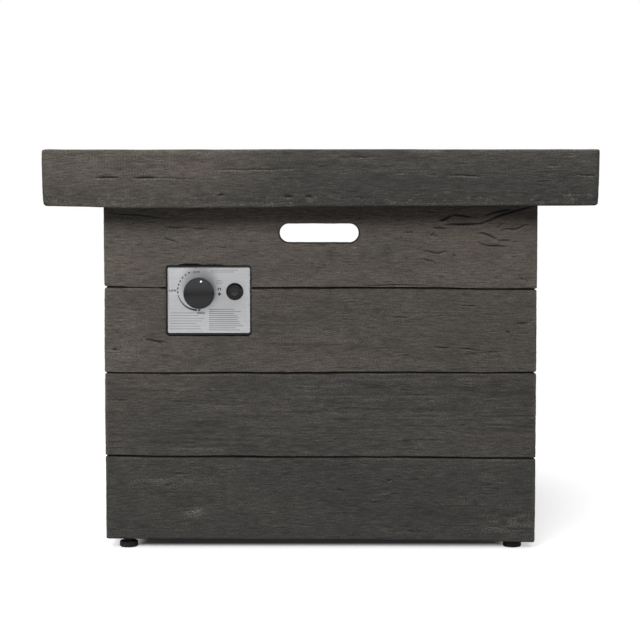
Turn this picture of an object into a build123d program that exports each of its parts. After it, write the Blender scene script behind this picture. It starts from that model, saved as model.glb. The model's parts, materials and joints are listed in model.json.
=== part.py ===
from build123d import *
import math
import os
import random

# A square gas fire table: a cast, plank-patterned base and top slab around a drop-in steel fire bowl
# with a ring burner, and a control plate with a gas knob and a push-button igniter on the front.
# Millimetres. +Z is up, the origin is on the ground under the centre, and the front faces -Y.

# ---------------------------------------------------------------------------------------------
# Driving dimensions
# ---------------------------------------------------------------------------------------------

# Base: four mitred cast panels
base_size = 652.0  # outer width and depth
bottom_plank = 127.0  # plank heights, from the lowest up
lower_plank = 128.0
upper_plank = 129.0
top_plank = 124.0
ground_gap = 14.0  # from the ground to the base's lower edge
panel_thickness = 16.0
corner_radius = 4.0
groove_width = 3.4
groove_depth = 5.0

# Grip slot in the front panel, and the taller one in the rear panel that also vents the base
grip_width = 120.0
grip_height = 28.0
grip_drop = 40.5  # slot centre below the slab
vent_width = 164.0
vent_height = 50.0
vent_drop = 51.0
slot_edge_radius = 2.0

# Top slab
slab_overhang = 80.5  # past the base, all round
slab_thickness = 82.0
slab_skin = 18.0
slab_apron = 18.0
slab_rib = 36.0  # width of the rib that stands on the base panels
slab_edge_radius = 3.0
slab_corner_radius = 6.0
bowl_opening = 330.0
opening_radius = 12.0
rebate_depth = 2.2
rebate_margin = 21.0
top_groove_depth = 3.0
top_groove_width = 3.0

# Corner posts: folded angle with a foot plate and a top tab
post_leg = 40.0
post_wall = 2.5
foot_plate = 50.0
foot_plate_thickness = 4.0
foot_plate_lift = 2.0  # from the base's lower edge to the foot plate
top_tab_thickness = 3.0
panel_bolt_first = 66.0  # lowest bolt above the base's lower edge
panel_bolt_spacing = 180.0
panel_bolt_rows = 3
slab_bolt_inset = 12.0
bolt_radius = 3.0
bolt_head_width = 10.0
bolt_head_height = 4.0
bolt_grip = 11.0  # length in the panel
slab_bolt_grip = 20.0  # length in the slab's rib
hole_clearance = 0.3

# Levelling feet
foot_inset = 16.0  # foot axis from the panels' inner faces
foot_pad_radius = 14.0
foot_pad_height = 9.5
foot_pad_fillet = 2.4
foot_pad_chamfer = 1.2
foot_neck_width = 13.0
stud_radius = 4.0
stud_length = 56.0
stud_seat = 4.2  # stud's lower end above the ground
foot_nut_height = 6.5
running_clearance = 0.05

# Fire bowl
bowl_clearance = 1.0
bowl_wall = 1.2
bowl_depth = 84.0  # from the flange's underside to the floor's underside
bowl_flange = 20.0
bowl_corner_radius = 14.0
drain_hole_radius = 5.0
drain_hole_inset = 20.0  # from the bowl's outer wall
drain_hole_spacing = 115.0

# Ring burner, its inlet and its gas train
ring_radius = 90.0
ring_tube_radius = 9.5
ring_wall = 1.0
ring_height = 18.0  # ring centreline above the bowl's floor
port_count = 36
port_radius = 1.2
inlet_radius = 8.0
inlet_bore = 6.5
inlet_length = 42.0  # below the ring's centreline
standoff_radius = 5.0
standoff_angles = (0.0, 75.0, 285.0)
locknut_width = 26.0
locknut_height = 6.0
mixer_radius = 11.0
mixer_length = 52.0
mixer_floor = 3.0
mixer_overlap = 8.0  # length of inlet tube inside the mixer
air_window_radius = 4.0
jet_hex_width = 17.0
jet_hex_height = 9.0
jet_nipple_radius = 4.0
jet_nipple_length = 8.0
flare_radius = 6.0
flare_length = 10.0
flare_nut_length = 18.0
hose_radius = 5.0

# Pilot corner: spark electrode, flame sensor and their bracket and cage
pilot_angle = 215.0
pilot_offset = 32.0  # outside the ring's centreline
pilot_pitch = 14.0  # electrode to sensor
ceramic_radius = 3.5
ceramic_length = 34.0
electrode_radius = 1.2
electrode_tip = 12.0
sensor_radius = 2.4
sensor_length = 50.0
pilot_below = 14.0  # reach of the ceramic and the sensor below the bowl's floor
pilot_collar = 1.2  # collars of the ceramic and the sensor on the bracket
pilot_collar_height = 2.5
pilot_bracket_size = (34.0, 16.0)
pilot_bracket_lift = 12.0
pilot_sheet = 1.5
cage_size = 40.0
cage_height = 56.0
cage_sheet = 0.8
cage_window = 4.0
cage_post = 7.0  # solid width at the corners and under the top
cage_foot = 16.0  # solid height at the bottom
cage_radius = 4.0

# Lava rock
rock_gap = 0.3
rock_pitch = 41.0
rock_lower_height = 27.0
rock_upper_height = 34.0
rock_height_spread = 5.0
rock_facets = 7
rock_strike = (0.66, 0.82)  # where the facets lie, as a share of the block's reach
rock_seed = 7

# Control plate and its tray
plate_width = 124.0
plate_height = 98.8
plate_thickness = 1.0
plate_radius = 3.0
plate_inset = 158.0  # plate's centre from the base's left side
plate_drop = 142.6  # plate's centre below the slab
plate_recess = 2.0
plate_margin = 3.0  # gap between plate and casting
tray_wall = 1.2
tray_gap = 0.4
tray_flange = 14.0
tray_screw_inset = 12.0  # below the plate's upper edge and above its lower one
screw_radius = 2.0
screw_head_radius = 4.0
screw_head_height = 2.4
screw_length = 9.0

# Gas valve
valve_offset = -13.6  # axis to the left of the plate's centre
valve_lift = 11.5  # axis above the plate's centre
neck_radius = 9.0
neck_proud = 3.5  # neck in front of the plate
neck_chamber_radius = 6.2
neck_lip = 2.5
neck_nut_width = 22.0
neck_nut_height = 3.0
valve_body_width = 34.0
valve_body_depth = 46.0
valve_body_above = 19.0
valve_body_below = 30.0
valve_body_radius = 4.0
rotor_radius = 9.0
rotor_taper = 0.8
rotor_length = 20.0
rotor_cover = 8.0  # casting in front of the rotor
rotor_end_gap = 0.1
gas_way_radius = 2.5
stem_radius = 3.0
stem_flat = 0.9  # depth of the flat that keys the stem
stem_clearance = 0.08
stem_collar_radius = 5.2
stem_collar_length = 1.6
plunger_radius = 2.1
plunger_gap = 1.0  # to the magnet at full push
stem_back_inset = 4.0  # from the stem's rear end to the rotor's
magnet_radius = 9.0
magnet_length = 22.0
magnet_edge_radius = 1.5
magnet_thread_radius = 7.0
magnet_thread_length = 6.0
sensor_nut_width = 10.0
sensor_nut_length = 8.0
outlet_drop = 20.0  # outlet port below the valve's axis
outlet_hex_height = 8.0
inlet_port_inset = 26.0  # inlet port behind the body's front
inlet_hex_width = 19.0
inlet_hex_height = 9.0
inlet_flare_radius = 7.94
inlet_flare_length = 15.0
inlet_fitting_bore = 3.0
spring_wire_radius = 0.45
spring_gap = 0.15
valve_spring_radius = 4.6
valve_spring_turns = 4

# Knob
knob_radius = 23.7
knob_front_radius = 23.1
knob_height = 22.0
knob_skirt = 3.0  # straight part of the side at the rear rim
knob_dome = 1.6
knob_edge_radius = 2.2
knob_wall = 2.4
knob_web = 5.0
knob_hub_radius = 7.0
knob_standoff = 5.0  # knob's rear rim in front of the plate
knob_push = 4.0
hub_gap = 1.0  # between the hub and the valve's neck at full push
pointer_radius = 1.5
pointer_offset = 18.1
pointer_turn = 10.9  # degrees clockwise from the top, at off
pointer_depth = 1.2
pointer_proud = 0.3

# Igniter
igniter_offset = 39.0  # axis to the right of the plate's centre
igniter_lift = 13.2
barrel_radius = 11.1
barrel_bore = 9.9
barrel_length = 78.0
barrel_end = 3.0
igniter_flange_radius = 13.0
igniter_flange_height = 2.5
igniter_nut_radius = 15.0
igniter_nut_height = 6.0
igniter_nut_notches = 12
igniter_notch_radius = 1.4
cap_radius = 12.2
cap_height = 6.0
cap_chamfer = 1.8
cap_skirt_wall = 1.0
cap_skirt_length = 9.0
cap_gap = 0.3
button_radius = 7.5
button_clearance = 0.1
button_proud = 1.0
button_edge_radius = 0.8
dish_radius = 24.0
dish_depth = 0.7
button_stop_radius = 8.5
button_stop_height = 1.6
button_length = 9.0
contact_radius = 7.0
contact_thickness = 1.2
igniter_spring_radius = 4.6
igniter_spring_turns = 6
battery_radius = 7.2
battery_length = 50.0
battery_edge_radius = 0.6
battery_nipple_radius = 2.7
battery_nipple_length = 1.2
battery_clearance = 0.4
contact_gap = 0.2
lead_radius = 1.6
sensor_lead_radius = 1.0
terminal_length = 7.0
terminal_radius = 2.6
terminal_offset = 4.0

# Heat shield over the controls
shield_width = 170.0
shield_reach = 150.0
shield_leg = 22.0
shield_lip = 11.0
shield_screw_spacing = 122.0
shield_sheet = 1.0
shield_drop = 54.0  # below the slab

# Hose grommet in the rear panel
grommet_inset = 136.0  # from the base's left side
grommet_z = 62.0
grommet_bore = 8.0
grommet_radius = 13.0
grommet_lip_radius = 18.0
grommet_lip = 3.0

# ---------------------------------------------------------------------------------------------
# Derived places
# ---------------------------------------------------------------------------------------------

base_height = bottom_plank + lower_plank + upper_plank + top_plank
slab_size = base_size + 2 * slab_overhang
slab_bottom = ground_gap + base_height
slab_top = slab_bottom + slab_thickness
half = base_size / 2
panel_bolt_levels = [panel_bolt_first + panel_bolt_spacing * n for n in range(panel_bolt_rows)]
inner_half = half - panel_thickness
front_y = -half
inner_front_y = -inner_half
first_seam = ground_gap + bottom_plank
seam_levels = [first_seam, first_seam + lower_plank, first_seam + lower_plank + upper_plank]

flange_bottom = slab_top - rebate_depth
bowl_half = bowl_opening / 2 - bowl_clearance
floor_bottom = flange_bottom - bowl_depth
floor_top = floor_bottom + bowl_wall
rock_bed_margin = (bowl_corner_radius - bowl_wall) * (1 - math.sqrt(0.5)) + rock_gap  # clears round corners
ring_z = floor_top + ring_height
inlet_bottom = ring_z - inlet_length
mixer_top = inlet_bottom + mixer_overlap
mixer_bottom = mixer_top - mixer_length
jet_bottom = mixer_bottom - jet_hex_height

plate_x = -half + plate_inset
plate_z = slab_bottom - plate_drop
valve_x = plate_x + valve_offset
valve_z = plate_z + valve_lift
igniter_x = plate_x + igniter_offset
igniter_z = plate_z + igniter_lift
shield_z = slab_bottom - shield_drop
grommet_x = -half + grommet_inset
plate_front_y = front_y + plate_recess
plate_back_y = plate_front_y + plate_thickness
tray_back_y = plate_back_y + tray_wall
valve_front_y = tray_back_y
valve_back_y = valve_front_y + valve_body_depth
neck_front_y = plate_front_y - neck_proud
chamber_y = neck_front_y + neck_lip
collar_y = chamber_y + hole_clearance
rotor_front_y = valve_front_y + rotor_cover
rotor_back_y = rotor_front_y + rotor_length
stem_back_y = rotor_back_y - stem_back_inset
magnet_back_y = valve_back_y + magnet_length
knob_back_y = plate_front_y - knob_standoff
knob_front_y = knob_back_y - knob_height
stem_front_y = knob_front_y + knob_web
hub_recess = knob_push - (neck_front_y - knob_back_y) + hub_gap
outlet_z = valve_z - outlet_drop
valve_bottom = valve_z - valve_body_below
inlet_y = valve_front_y + inlet_port_inset
igniter_back_y = plate_front_y + barrel_length
pilot_radius = ring_radius + pilot_offset
foot_axis = inner_half - foot_inset
post_bottom = ground_gap + foot_plate_lift
foot_plate_top = post_bottom + foot_plate_thickness

# Working values
overcut = 1.0  # how far a cutter runs past the face it cuts
tolerance = 0.01
through_length = panel_thickness + 2 * overcut

UP = (0, 0, 1)
DOWN = (0, 0, -1)
FORWARD = (0, -1, 0)
BACKWARD = (0, 1, 0)


# ---------------------------------------------------------------------------------------------
# Small helpers
# ---------------------------------------------------------------------------------------------


def aim(shape, point, direction):
    """Puts a shape drawn along +Z from the origin at a point, facing a direction."""
    return Plane(origin=point, z_dir=direction) * shape


def rod(radius, length, point, direction=UP):
    return aim(extrude(Circle(radius), length), point, direction)


def hexagon(width, length, point, direction=UP, bore=0.0):
    """A hexagonal bar across its flats, with an optional bore."""
    outline = RegularPolygon(radius=width / 2, side_count=6, major_radius=False)
    if bore:
        outline -= Circle(bore)
    return aim(extrude(outline, length), point, direction)


def bar(x0, x1, y0, y1, z0, z1):
    """A box between two corners."""
    return Pos((x0 + x1) / 2, (y0 + y1) / 2, (z0 + z1) / 2) * Box(x1 - x0, y1 - y0, z1 - z0)


def square_block(size, radius, z0, z1):
    """A square block about the Z axis with rounded vertical edges."""
    return Pos(0, 0, z0) * extrude(RectangleRounded(size, size, radius), z1 - z0)


def turned(shape, quarter):
    return Rot(0, 0, 90 * quarter) * shape


def tube_along(points, radius):
    """A round tube through points, with an arc at each corner as large as its two runs allow."""
    radii = []
    for before, corner, after in zip(points, points[1:], points[2:]):
        run_in = Vector(corner) - Vector(before)
        run_out = Vector(after) - Vector(corner)
        turn = math.radians(run_in.get_angle(run_out))
        radii.append(0.45 * min(run_in.length, run_out.length) / math.tan(turn / 2))
    path = FilletPolyline(*points, radius=radii)
    start = Vector(points[0])
    profile = Plane(origin=start, z_dir=Vector(points[1]) - start) * Circle(radius)
    made = sweep(profile, path=path)
    section = math.pi * radius**2 * path.length
    print(f"tube r {radius}: length {path.length:.0f}, smallest bend {min(radii):.0f}, "
          f"volume over section {made.volume / section:.4f}")
    return made


def save(name, shape):
    """Writes one node. A group of like pieces stays a group of separate solids."""
    solids = shape.solids()
    made = solids[0] if len(solids) == 1 else Compound(children=list(solids))
    export_step(made, f"parts/{name}.step")


def save_group(name, shapes):
    save(name, Compound(children=[solid for shape in shapes for solid in shape.solids()]))


# ---------------------------------------------------------------------------------------------
# Base panels
# ---------------------------------------------------------------------------------------------


def plain_panel():
    """The front panel's casting without its own openings: mitred ends, rounded corners and plank grooves."""
    straight = half - corner_radius
    reach = straight + corner_radius * math.sin(math.radians(45))
    middle = math.radians(22.5)
    arc_x = straight + corner_radius * math.sin(middle)
    arc_y = -(straight + corner_radius * math.cos(middle))
    inner = inner_half
    outline = Polyline((reach, -reach), (inner, -inner), (-inner, -inner), (-reach, -reach))
    outline += ThreePointArc((-reach, -reach), (-arc_x, arc_y), (-straight, -half))
    outline += Line((-straight, -half), (straight, -half))
    outline += ThreePointArc((straight, -half), (arc_x, arc_y), (reach, -reach))
    panel = Pos(0, 0, ground_gap) * extrude(make_face(outline), base_height)
    for level in seam_levels:
        panel -= plank_groove(level)
    return panel


def plank_groove(level):
    """A V cutter along the front face at a seam between two planks."""
    mouth = groove_width / 2 * (1 + overcut / groove_depth)
    start_y = front_y - overcut
    root_y = front_y + groove_depth
    outline = Polyline((start_y, level - mouth), (root_y, level), (start_y, level + mouth), close=True)
    return Pos(-base_size, 0, 0) * extrude(Plane.YZ * make_face(outline), 2 * base_size)


def through_panel(point):
    """A plane in front of the front panel, facing the rear, for cuts through it."""
    return Plane(origin=point, x_dir=(1, 0, 0), z_dir=BACKWARD)


def slot_cutter(width, height, level):
    """A round-ended cutter through the front panel."""
    return through_panel((0, front_y - overcut, level)) * extrude(SlotOverall(width, height), through_length)


def rounded_rim(panel, width, height, level):
    """Rounds the slot's outer edge."""
    rim = [
        edge
        for edge in panel.edges()
        if edge.bounding_box().min.Y < front_y + tolerance
        and edge.bounding_box().size.Y < tolerance
        and abs(edge.center().X) < width / 2 + tolerance
        and abs(edge.center().Z - level) < height / 2 + tolerance
    ]
    return fillet(rim, min(slot_edge_radius, panel_thickness / 3))


def panel_bolt_holes(panel):
    """Blind holes for the bolts that hold the panel to its two posts."""
    for side in (-1, 1):
        for level in panel_bolt_levels:
            place = (side * (inner_half - post_leg / 2), inner_front_y, ground_gap + level)
            panel -= rod(bolt_radius + hole_clearance, bolt_grip + hole_clearance, place, FORWARD)
    return panel


def front_panel():
    panel = panel_bolt_holes(plain_panel())
    level = slab_bottom - grip_drop
    panel -= slot_cutter(grip_width, grip_height, level)
    panel = rounded_rim(panel, grip_width, grip_height, level)
    opening = plate_outline(plate_margin)
    panel -= through_panel((plate_x, front_y - overcut, plate_z)) * extrude(opening, through_length)
    for place in tray_screw_places():
        panel -= rod(screw_radius + hole_clearance, screw_length, place, FORWARD)
    for place in shield_screw_places():
        panel -= rod(screw_radius + hole_clearance, screw_length, place, FORWARD)
    return panel


def rear_panel():
    panel = panel_bolt_holes(plain_panel())
    level = slab_bottom - vent_drop
    panel -= slot_cutter(vent_width, vent_height, level)
    panel = rounded_rim(panel, vent_width, vent_height, level)
    panel -= rod(grommet_radius, through_length, (-grommet_x, front_y - overcut, grommet_z), BACKWARD)
    return turned(panel, 2)


def side_panel():
    return panel_bolt_holes(plain_panel())


# ---------------------------------------------------------------------------------------------
# Top slab
# ---------------------------------------------------------------------------------------------


def top_slab():
    outer = square_block(slab_size, slab_corner_radius, slab_bottom, slab_top)
    flat_edges = outer.faces().sort_by(Axis.Z)[-1].edges() + outer.faces().sort_by(Axis.Z)[0].edges()
    slab = fillet(flat_edges, slab_edge_radius)
    under_skin = slab_top - slab_skin
    start_z = slab_bottom - overcut
    end_z = slab_top + overcut
    channel = square_block(slab_size - 2 * slab_apron, slab_corner_radius, start_z, under_skin)
    channel -= square_block(base_size, corner_radius, start_z, end_z)
    slab -= channel
    slab -= square_block(base_size - 2 * slab_rib, slab_corner_radius, start_z, under_skin)
    slab -= square_block(bowl_opening, opening_radius, start_z, end_z)
    rebate = bowl_opening + 2 * rebate_margin
    slab -= square_block(rebate, opening_radius, slab_top - rebate_depth, end_z)
    slab -= top_grooves(rebate)
    for quarter in range(4):
        x, y = slab_bolt_place()
        hole = rod(bolt_radius + hole_clearance, slab_bolt_grip + hole_clearance, (x, y, slab_bottom))
        slab -= turned(hole, quarter)
    return slab


def top_grooves(rebate):
    """V grooves on the slab's top: a square ring between two planks, and four mitre lines."""
    ring_half = (slab_size / 2 + rebate / 2) / 2
    mouth = top_groove_width / 2 * (1 + overcut / top_groove_depth)
    brim = slab_top + overcut
    outline = Polyline((-mouth, brim), (0, slab_top - top_groove_depth), (mouth, brim), close=True)
    section = Plane.YZ * make_face(outline)
    side = Pos(-ring_half, -ring_half, 0) * extrude(section, 2 * ring_half)
    corner = rebate / 2 * math.sqrt(2)
    mitre = Rot(0, 0, -45) * Pos(corner, 0, 0) * extrude(section, slab_size)
    return [turned(cutter, quarter) for quarter in range(4) for cutter in (side, mitre)]


def slab_bolt_place():
    return -(inner_half - slab_bolt_inset), -(inner_half - slab_bolt_inset)


# ---------------------------------------------------------------------------------------------
# Corner posts, bolts and feet
# ---------------------------------------------------------------------------------------------


def corner_post():
    """The front left post: two legs against the panels, a plate for the foot and a tab for the slab."""
    edge = -inner_half
    far = edge + foot_plate
    tab_z = slab_bottom - top_tab_thickness
    post = bar(edge, edge + post_leg, edge, edge + post_wall, post_bottom, slab_bottom)
    post += bar(edge, edge + post_wall, edge, edge + post_leg, post_bottom, slab_bottom)
    post += bar(edge, far, edge, far, post_bottom, foot_plate_top)
    post += bar(edge, far, edge, far, tab_z, slab_bottom)
    stud_hole = stud_radius + 2 * hole_clearance
    post -= rod(stud_hole, foot_plate_thickness + 2 * overcut, (-foot_axis, -foot_axis, post_bottom - overcut))
    bolt_hole = bolt_radius + hole_clearance
    x, y = slab_bolt_place()
    post -= rod(bolt_hole, top_tab_thickness + 2 * overcut, (x, y, tab_z - overcut))
    for level in panel_bolt_levels:
        centre = edge + post_leg / 2
        z = ground_gap + level
        post -= rod(bolt_hole, post_wall + 2 * overcut, (centre, edge - overcut, z), BACKWARD)
        post -= rod(bolt_hole, post_wall + 2 * overcut, (edge - overcut, centre, z), (1, 0, 0))
    return post


def hex_bolt(point, direction, grip):
    """A hexagon-head bolt: the head stands behind the point, and the shank runs along the direction."""
    back = Vector(point) - Vector(direction) * bolt_head_height
    head = hexagon(bolt_head_width, bolt_head_height, back, direction)
    return head + rod(bolt_radius, grip, point, direction)


def panel_bolts():
    seat = -inner_half + post_wall
    centre = -inner_half + post_leg / 2
    made = []
    for quarter in range(4):
        for level in panel_bolt_levels:
            z = ground_gap + level
            made.append(turned(hex_bolt((centre, seat, z), FORWARD, bolt_grip + post_wall), quarter))
            made.append(turned(hex_bolt((seat, centre, z), (-1, 0, 0), bolt_grip + post_wall), quarter))
    return made


def slab_bolts():
    x, y = slab_bolt_place()
    bolt = hex_bolt((x, y, slab_bottom - top_tab_thickness), UP, top_tab_thickness + slab_bolt_grip)
    return [turned(bolt, quarter) for quarter in range(4)]


def foot_nut():
    place = (-foot_axis, -foot_axis, foot_plate_top)
    return hexagon(foot_neck_width, foot_nut_height, place, bore=stud_radius + running_clearance)


def foot_stud():
    return rod(stud_radius, stud_length, (-foot_axis, -foot_axis, stud_seat))


def foot_pad():
    """A moulded pad with a hexagonal neck, bored for its stud."""
    base = extrude(Circle(foot_pad_radius), foot_pad_height)
    base = fillet(base.edges().sort_by(Axis.Z)[-1], foot_pad_fillet)
    base = chamfer(base.edges().sort_by(Axis.Z)[0], foot_pad_chamfer)
    neck_height = post_bottom - foot_pad_height - hole_clearance
    base += hexagon(foot_neck_width, neck_height, (0, 0, foot_pad_height))
    base -= rod(stud_radius + running_clearance, post_bottom, (0, 0, stud_seat - hole_clearance))
    return Pos(-foot_axis, -foot_axis, 0) * base


# ---------------------------------------------------------------------------------------------
# Fire bowl, burner and gas train
# ---------------------------------------------------------------------------------------------


def fire_bowl():
    """A drop-in steel tray with a flange, drain holes and holes for the burner and the pilot."""
    size = 2 * bowl_half
    body = square_block(size, bowl_corner_radius, floor_bottom, flange_bottom + bowl_wall)
    body += square_block(size + 2 * bowl_flange, opening_radius, flange_bottom, flange_bottom + bowl_wall)
    brim = flange_bottom + bowl_wall + overcut
    body -= square_block(size - 2 * bowl_wall, bowl_corner_radius - bowl_wall, floor_top, brim)
    hole_depth = bowl_wall + 2 * overcut
    start = floor_bottom - overcut
    body -= rod(inlet_radius + hole_clearance, hole_depth, (-ring_radius, 0, start))
    for x, y in pilot_places():
        body -= rod(ceramic_radius + hole_clearance, hole_depth, (x, y, start))
    drain = bowl_half - drain_hole_inset
    for quarter in range(4):
        for side in (-drain_hole_spacing, 0.0, drain_hole_spacing):
            body -= turned(rod(drain_hole_radius, hole_depth, (side, -drain, start)), quarter)
    return body


def ring_section(radius):
    """The eight-sided section of the pressed ring, flat on its crown."""
    octagon = RegularPolygon(radius=radius, side_count=8, major_radius=False, rotation=22.5)
    return Plane.XZ * Pos(ring_radius, ring_z) * octagon


def burner_ring():
    """A hollow ring with gas ports on its crown and an inlet tube under its left side."""
    ring = revolve(ring_section(ring_tube_radius), Axis.Z)
    ring += rod(inlet_radius, inlet_length, (-ring_radius, 0, inlet_bottom))
    ring -= revolve(ring_section(ring_tube_radius - ring_wall), Axis.Z)
    ring -= rod(inlet_bore, inlet_length + overcut, (-ring_radius, 0, inlet_bottom - overcut))
    port = rod(port_radius, ring_tube_radius, (ring_radius, 0, ring_z + ring_tube_radius / 2))
    for n in range(port_count):
        ring -= Rot(0, 0, 360 / port_count * (n + 0.5)) * port
    return ring


def burner_standoffs():
    """Short feet that carry the ring on the bowl's floor."""
    post = rod(standoff_radius, ring_z - ring_tube_radius - floor_top, (ring_radius, 0, floor_top))
    return [Rot(0, 0, angle) * post for angle in standoff_angles]


def burner_locknut():
    place = (-ring_radius, 0, floor_bottom - locknut_height)
    return hexagon(locknut_width, locknut_height, place, bore=inlet_radius + running_clearance)


def air_mixer():
    """A tube on the burner's inlet with air windows and a floor for the gas jet."""
    place = (-ring_radius, 0, mixer_bottom)
    mixer = rod(mixer_radius, mixer_length, place)
    inside = (-ring_radius, 0, mixer_bottom + mixer_floor)
    mixer -= rod(inlet_radius + running_clearance, mixer_length, inside)
    jet_hole = mixer_floor + 2 * overcut
    mixer -= rod(jet_nipple_radius + running_clearance, jet_hole, (-ring_radius, 0, mixer_bottom - overcut))
    window_z = mixer_bottom + mixer_floor + 2.5 * air_window_radius
    for angle in (45, 135):
        window = rod(air_window_radius, 4 * mixer_radius, (0, -2 * mixer_radius, 0), BACKWARD)
        mixer -= Pos(-ring_radius, 0, window_z) * Rot(0, 0, angle) * window
    return mixer


def gas_jet():
    """A brass jet: nipple in the mixer, hexagon under it and a flare for the hose."""
    jet = hexagon(jet_hex_width, jet_hex_height, (-ring_radius, 0, jet_bottom))
    jet += rod(jet_nipple_radius, jet_nipple_length, (-ring_radius, 0, mixer_bottom))
    jet += rod(flare_radius, flare_length, (-ring_radius, 0, jet_bottom - flare_length))
    return jet


def flare_nut(point, direction):
    """A nut over a flare: the point is the face that meets the fitting's hexagon."""
    nut = hexagon(jet_hex_width, flare_nut_length, point, direction, bore=hose_radius + running_clearance)
    nut -= rod(flare_radius + running_clearance, flare_length + hole_clearance, point, direction)
    return nut


def gas_hose():
    """The hose from the valve's outlet to the jet under the burner."""
    start_y = valve_back_y + outlet_hex_height + flare_length + hole_clearance
    end_z = jet_bottom - flare_length - hole_clearance
    points = [
        (valve_x, start_y, outlet_z),
        (valve_x, start_y + 45, outlet_z),
        (valve_x + 6, start_y + 88, outlet_z - 16),
        (valve_x + 24, start_y + 130, outlet_z - 36),
        (valve_x + 48, start_y + 168, outlet_z - 46),
        (-ring_radius - 20, -32, outlet_z - 42),
        (-ring_radius - 3, -7, outlet_z - 12),
        (-ring_radius, 0, outlet_z + 22),
        (-ring_radius, 0, end_z),
    ]
    return tube_along(points, hose_radius)


# ---------------------------------------------------------------------------------------------
# Pilot corner
# ---------------------------------------------------------------------------------------------


def pilot_places():
    """XY of the spark electrode and of the flame sensor, side by side outside the ring."""
    angle = math.radians(pilot_angle)
    centre = Vector(math.cos(angle), math.sin(angle)) * pilot_radius
    along = Vector(-math.sin(angle), math.cos(angle)) * (pilot_pitch / 2)
    electrode, sensor = centre + along, centre - along
    return [(electrode.X, electrode.Y), (sensor.X, sensor.Y)]


def at_pilot(shape):
    """Places a shape drawn about the origin, with +X pointing out from the ring, at the pilot corner."""
    return Rot(0, 0, pilot_angle) * Pos(pilot_radius, 0, 0) * shape


def pilot_bracket():
    """A bent strip that holds the ceramic and the sensor above the bowl's floor."""
    length, width = pilot_bracket_size
    top = floor_top + pilot_bracket_lift
    strip = bar(-width / 2, width / 2, -length / 2, length / 2, top - pilot_sheet, top)
    leg = bar(-width / 2, width / 2, length / 2 - pilot_sheet, length / 2, floor_top, top)
    strip += leg + turned(leg, 2)
    bracket = at_pilot(strip)
    radii = (ceramic_radius, sensor_radius)
    for (x, y), radius in zip(pilot_places(), radii):
        hole = pilot_sheet + 2 * overcut
        bracket -= rod(radius + running_clearance, hole, (x, y, top - pilot_sheet - overcut))
    return bracket


def electrode_insulator():
    x, y = pilot_places()[0]
    body = rod(ceramic_radius, ceramic_length, (x, y, floor_bottom - pilot_below))
    collar_z = floor_top + pilot_bracket_lift
    body += rod(ceramic_radius + pilot_collar, pilot_collar_height, (x, y, collar_z))
    bore_z = floor_bottom - pilot_below - overcut
    body -= rod(electrode_radius + running_clearance, ceramic_length + 2 * overcut, (x, y, bore_z))
    return body


def spark_electrode():
    """A wire through the ceramic, bent over towards the ring's crown."""
    x, y = pilot_places()[0]
    bottom = floor_bottom - pilot_below - terminal_length
    top = ring_z + ring_tube_radius + 4
    inward = Vector(-x, -y).normalized()
    tip = Vector(x, y, top) + inward * electrode_tip
    path = FilletPolyline((x, y, bottom), (x, y, top), tuple(tip), radius=3 * electrode_radius)
    return sweep(Plane(origin=(x, y, bottom), z_dir=UP) * Circle(electrode_radius), path=path)


def flame_sensor():
    x, y = pilot_places()[1]
    body = rod(sensor_radius, sensor_length, (x, y, floor_bottom - pilot_below))
    body = fillet(body.edges().sort_by(Axis.Z)[-1], sensor_radius * 0.9)
    body += rod(sensor_radius + pilot_collar, pilot_collar_height, (x, y, floor_top + pilot_bracket_lift))
    return body


def pilot_cage():
    """An open-bottomed cage that keeps rock off the electrode and the sensor."""
    half_cage = cage_size / 2
    top = floor_top + cage_height
    inner = cage_size - 2 * cage_sheet
    shell = square_block(cage_size, cage_radius, floor_top, top)
    shell -= square_block(inner, cage_radius - cage_sheet, floor_top - overcut, top - cage_sheet)
    door = half_cage - cage_post
    shell -= bar(-cage_size, 0, -door, door, floor_top - overcut, ring_z + ring_tube_radius + cage_post)
    count = int((cage_size - 2 * cage_post) / (2 * cage_window))
    for n in range(count):
        middle = 2 * cage_window * (n - (count - 1) / 2)
        low, high = middle - cage_window / 2, middle + cage_window / 2
        shell -= bar(low, high, -door, door, top - cage_post, top + overcut)
        shell -= bar(low, high, -cage_size, cage_size, floor_top + cage_foot, top - cage_post)
        shell -= bar(0, cage_size, low, high, floor_top + cage_foot, top - cage_post)
    return at_pilot(shell)


def ignition_lead():
    """The insulated lead from the igniter's terminal up to the electrode."""
    x, y = pilot_places()[0]
    end_z = floor_bottom - pilot_below - terminal_length
    start_y = igniter_back_y + terminal_length
    points = [
        (igniter_x + terminal_offset, start_y, igniter_z),
        (igniter_x + terminal_offset, start_y + 30, igniter_z),
        (igniter_x + 9, start_y + 60, igniter_z + 8),
        (igniter_x + 18, start_y + 88, igniter_z + 26),
        (x - 4, y - 38, igniter_z + 48),
        (x, y - 8, igniter_z + 68),
        (x, y, end_z - 12),
        (x, y, end_z),
    ]
    return tube_along(points, lead_radius)


def sensor_lead():
    """The copper capillary from the sensor down to the valve's flame-failure unit."""
    x, y = pilot_places()[1]
    start_z = floor_bottom - pilot_below
    end_y = magnet_back_y + sensor_nut_length
    points = [
        (x, y, start_z),
        (x, y, start_z - 22),
        (x - 6, y - 8, start_z - 48),
        (x - 18, y - 30, start_z - 72),
        (x - 32, y - 62, start_z - 92),
        (valve_x + 14, end_y + 62, valve_z + 14),
        (valve_x, end_y + 28, valve_z),
        (valve_x, end_y, valve_z),
    ]
    return tube_along(points, sensor_lead_radius)


# ---------------------------------------------------------------------------------------------
# Lava rock
# ---------------------------------------------------------------------------------------------


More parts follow.
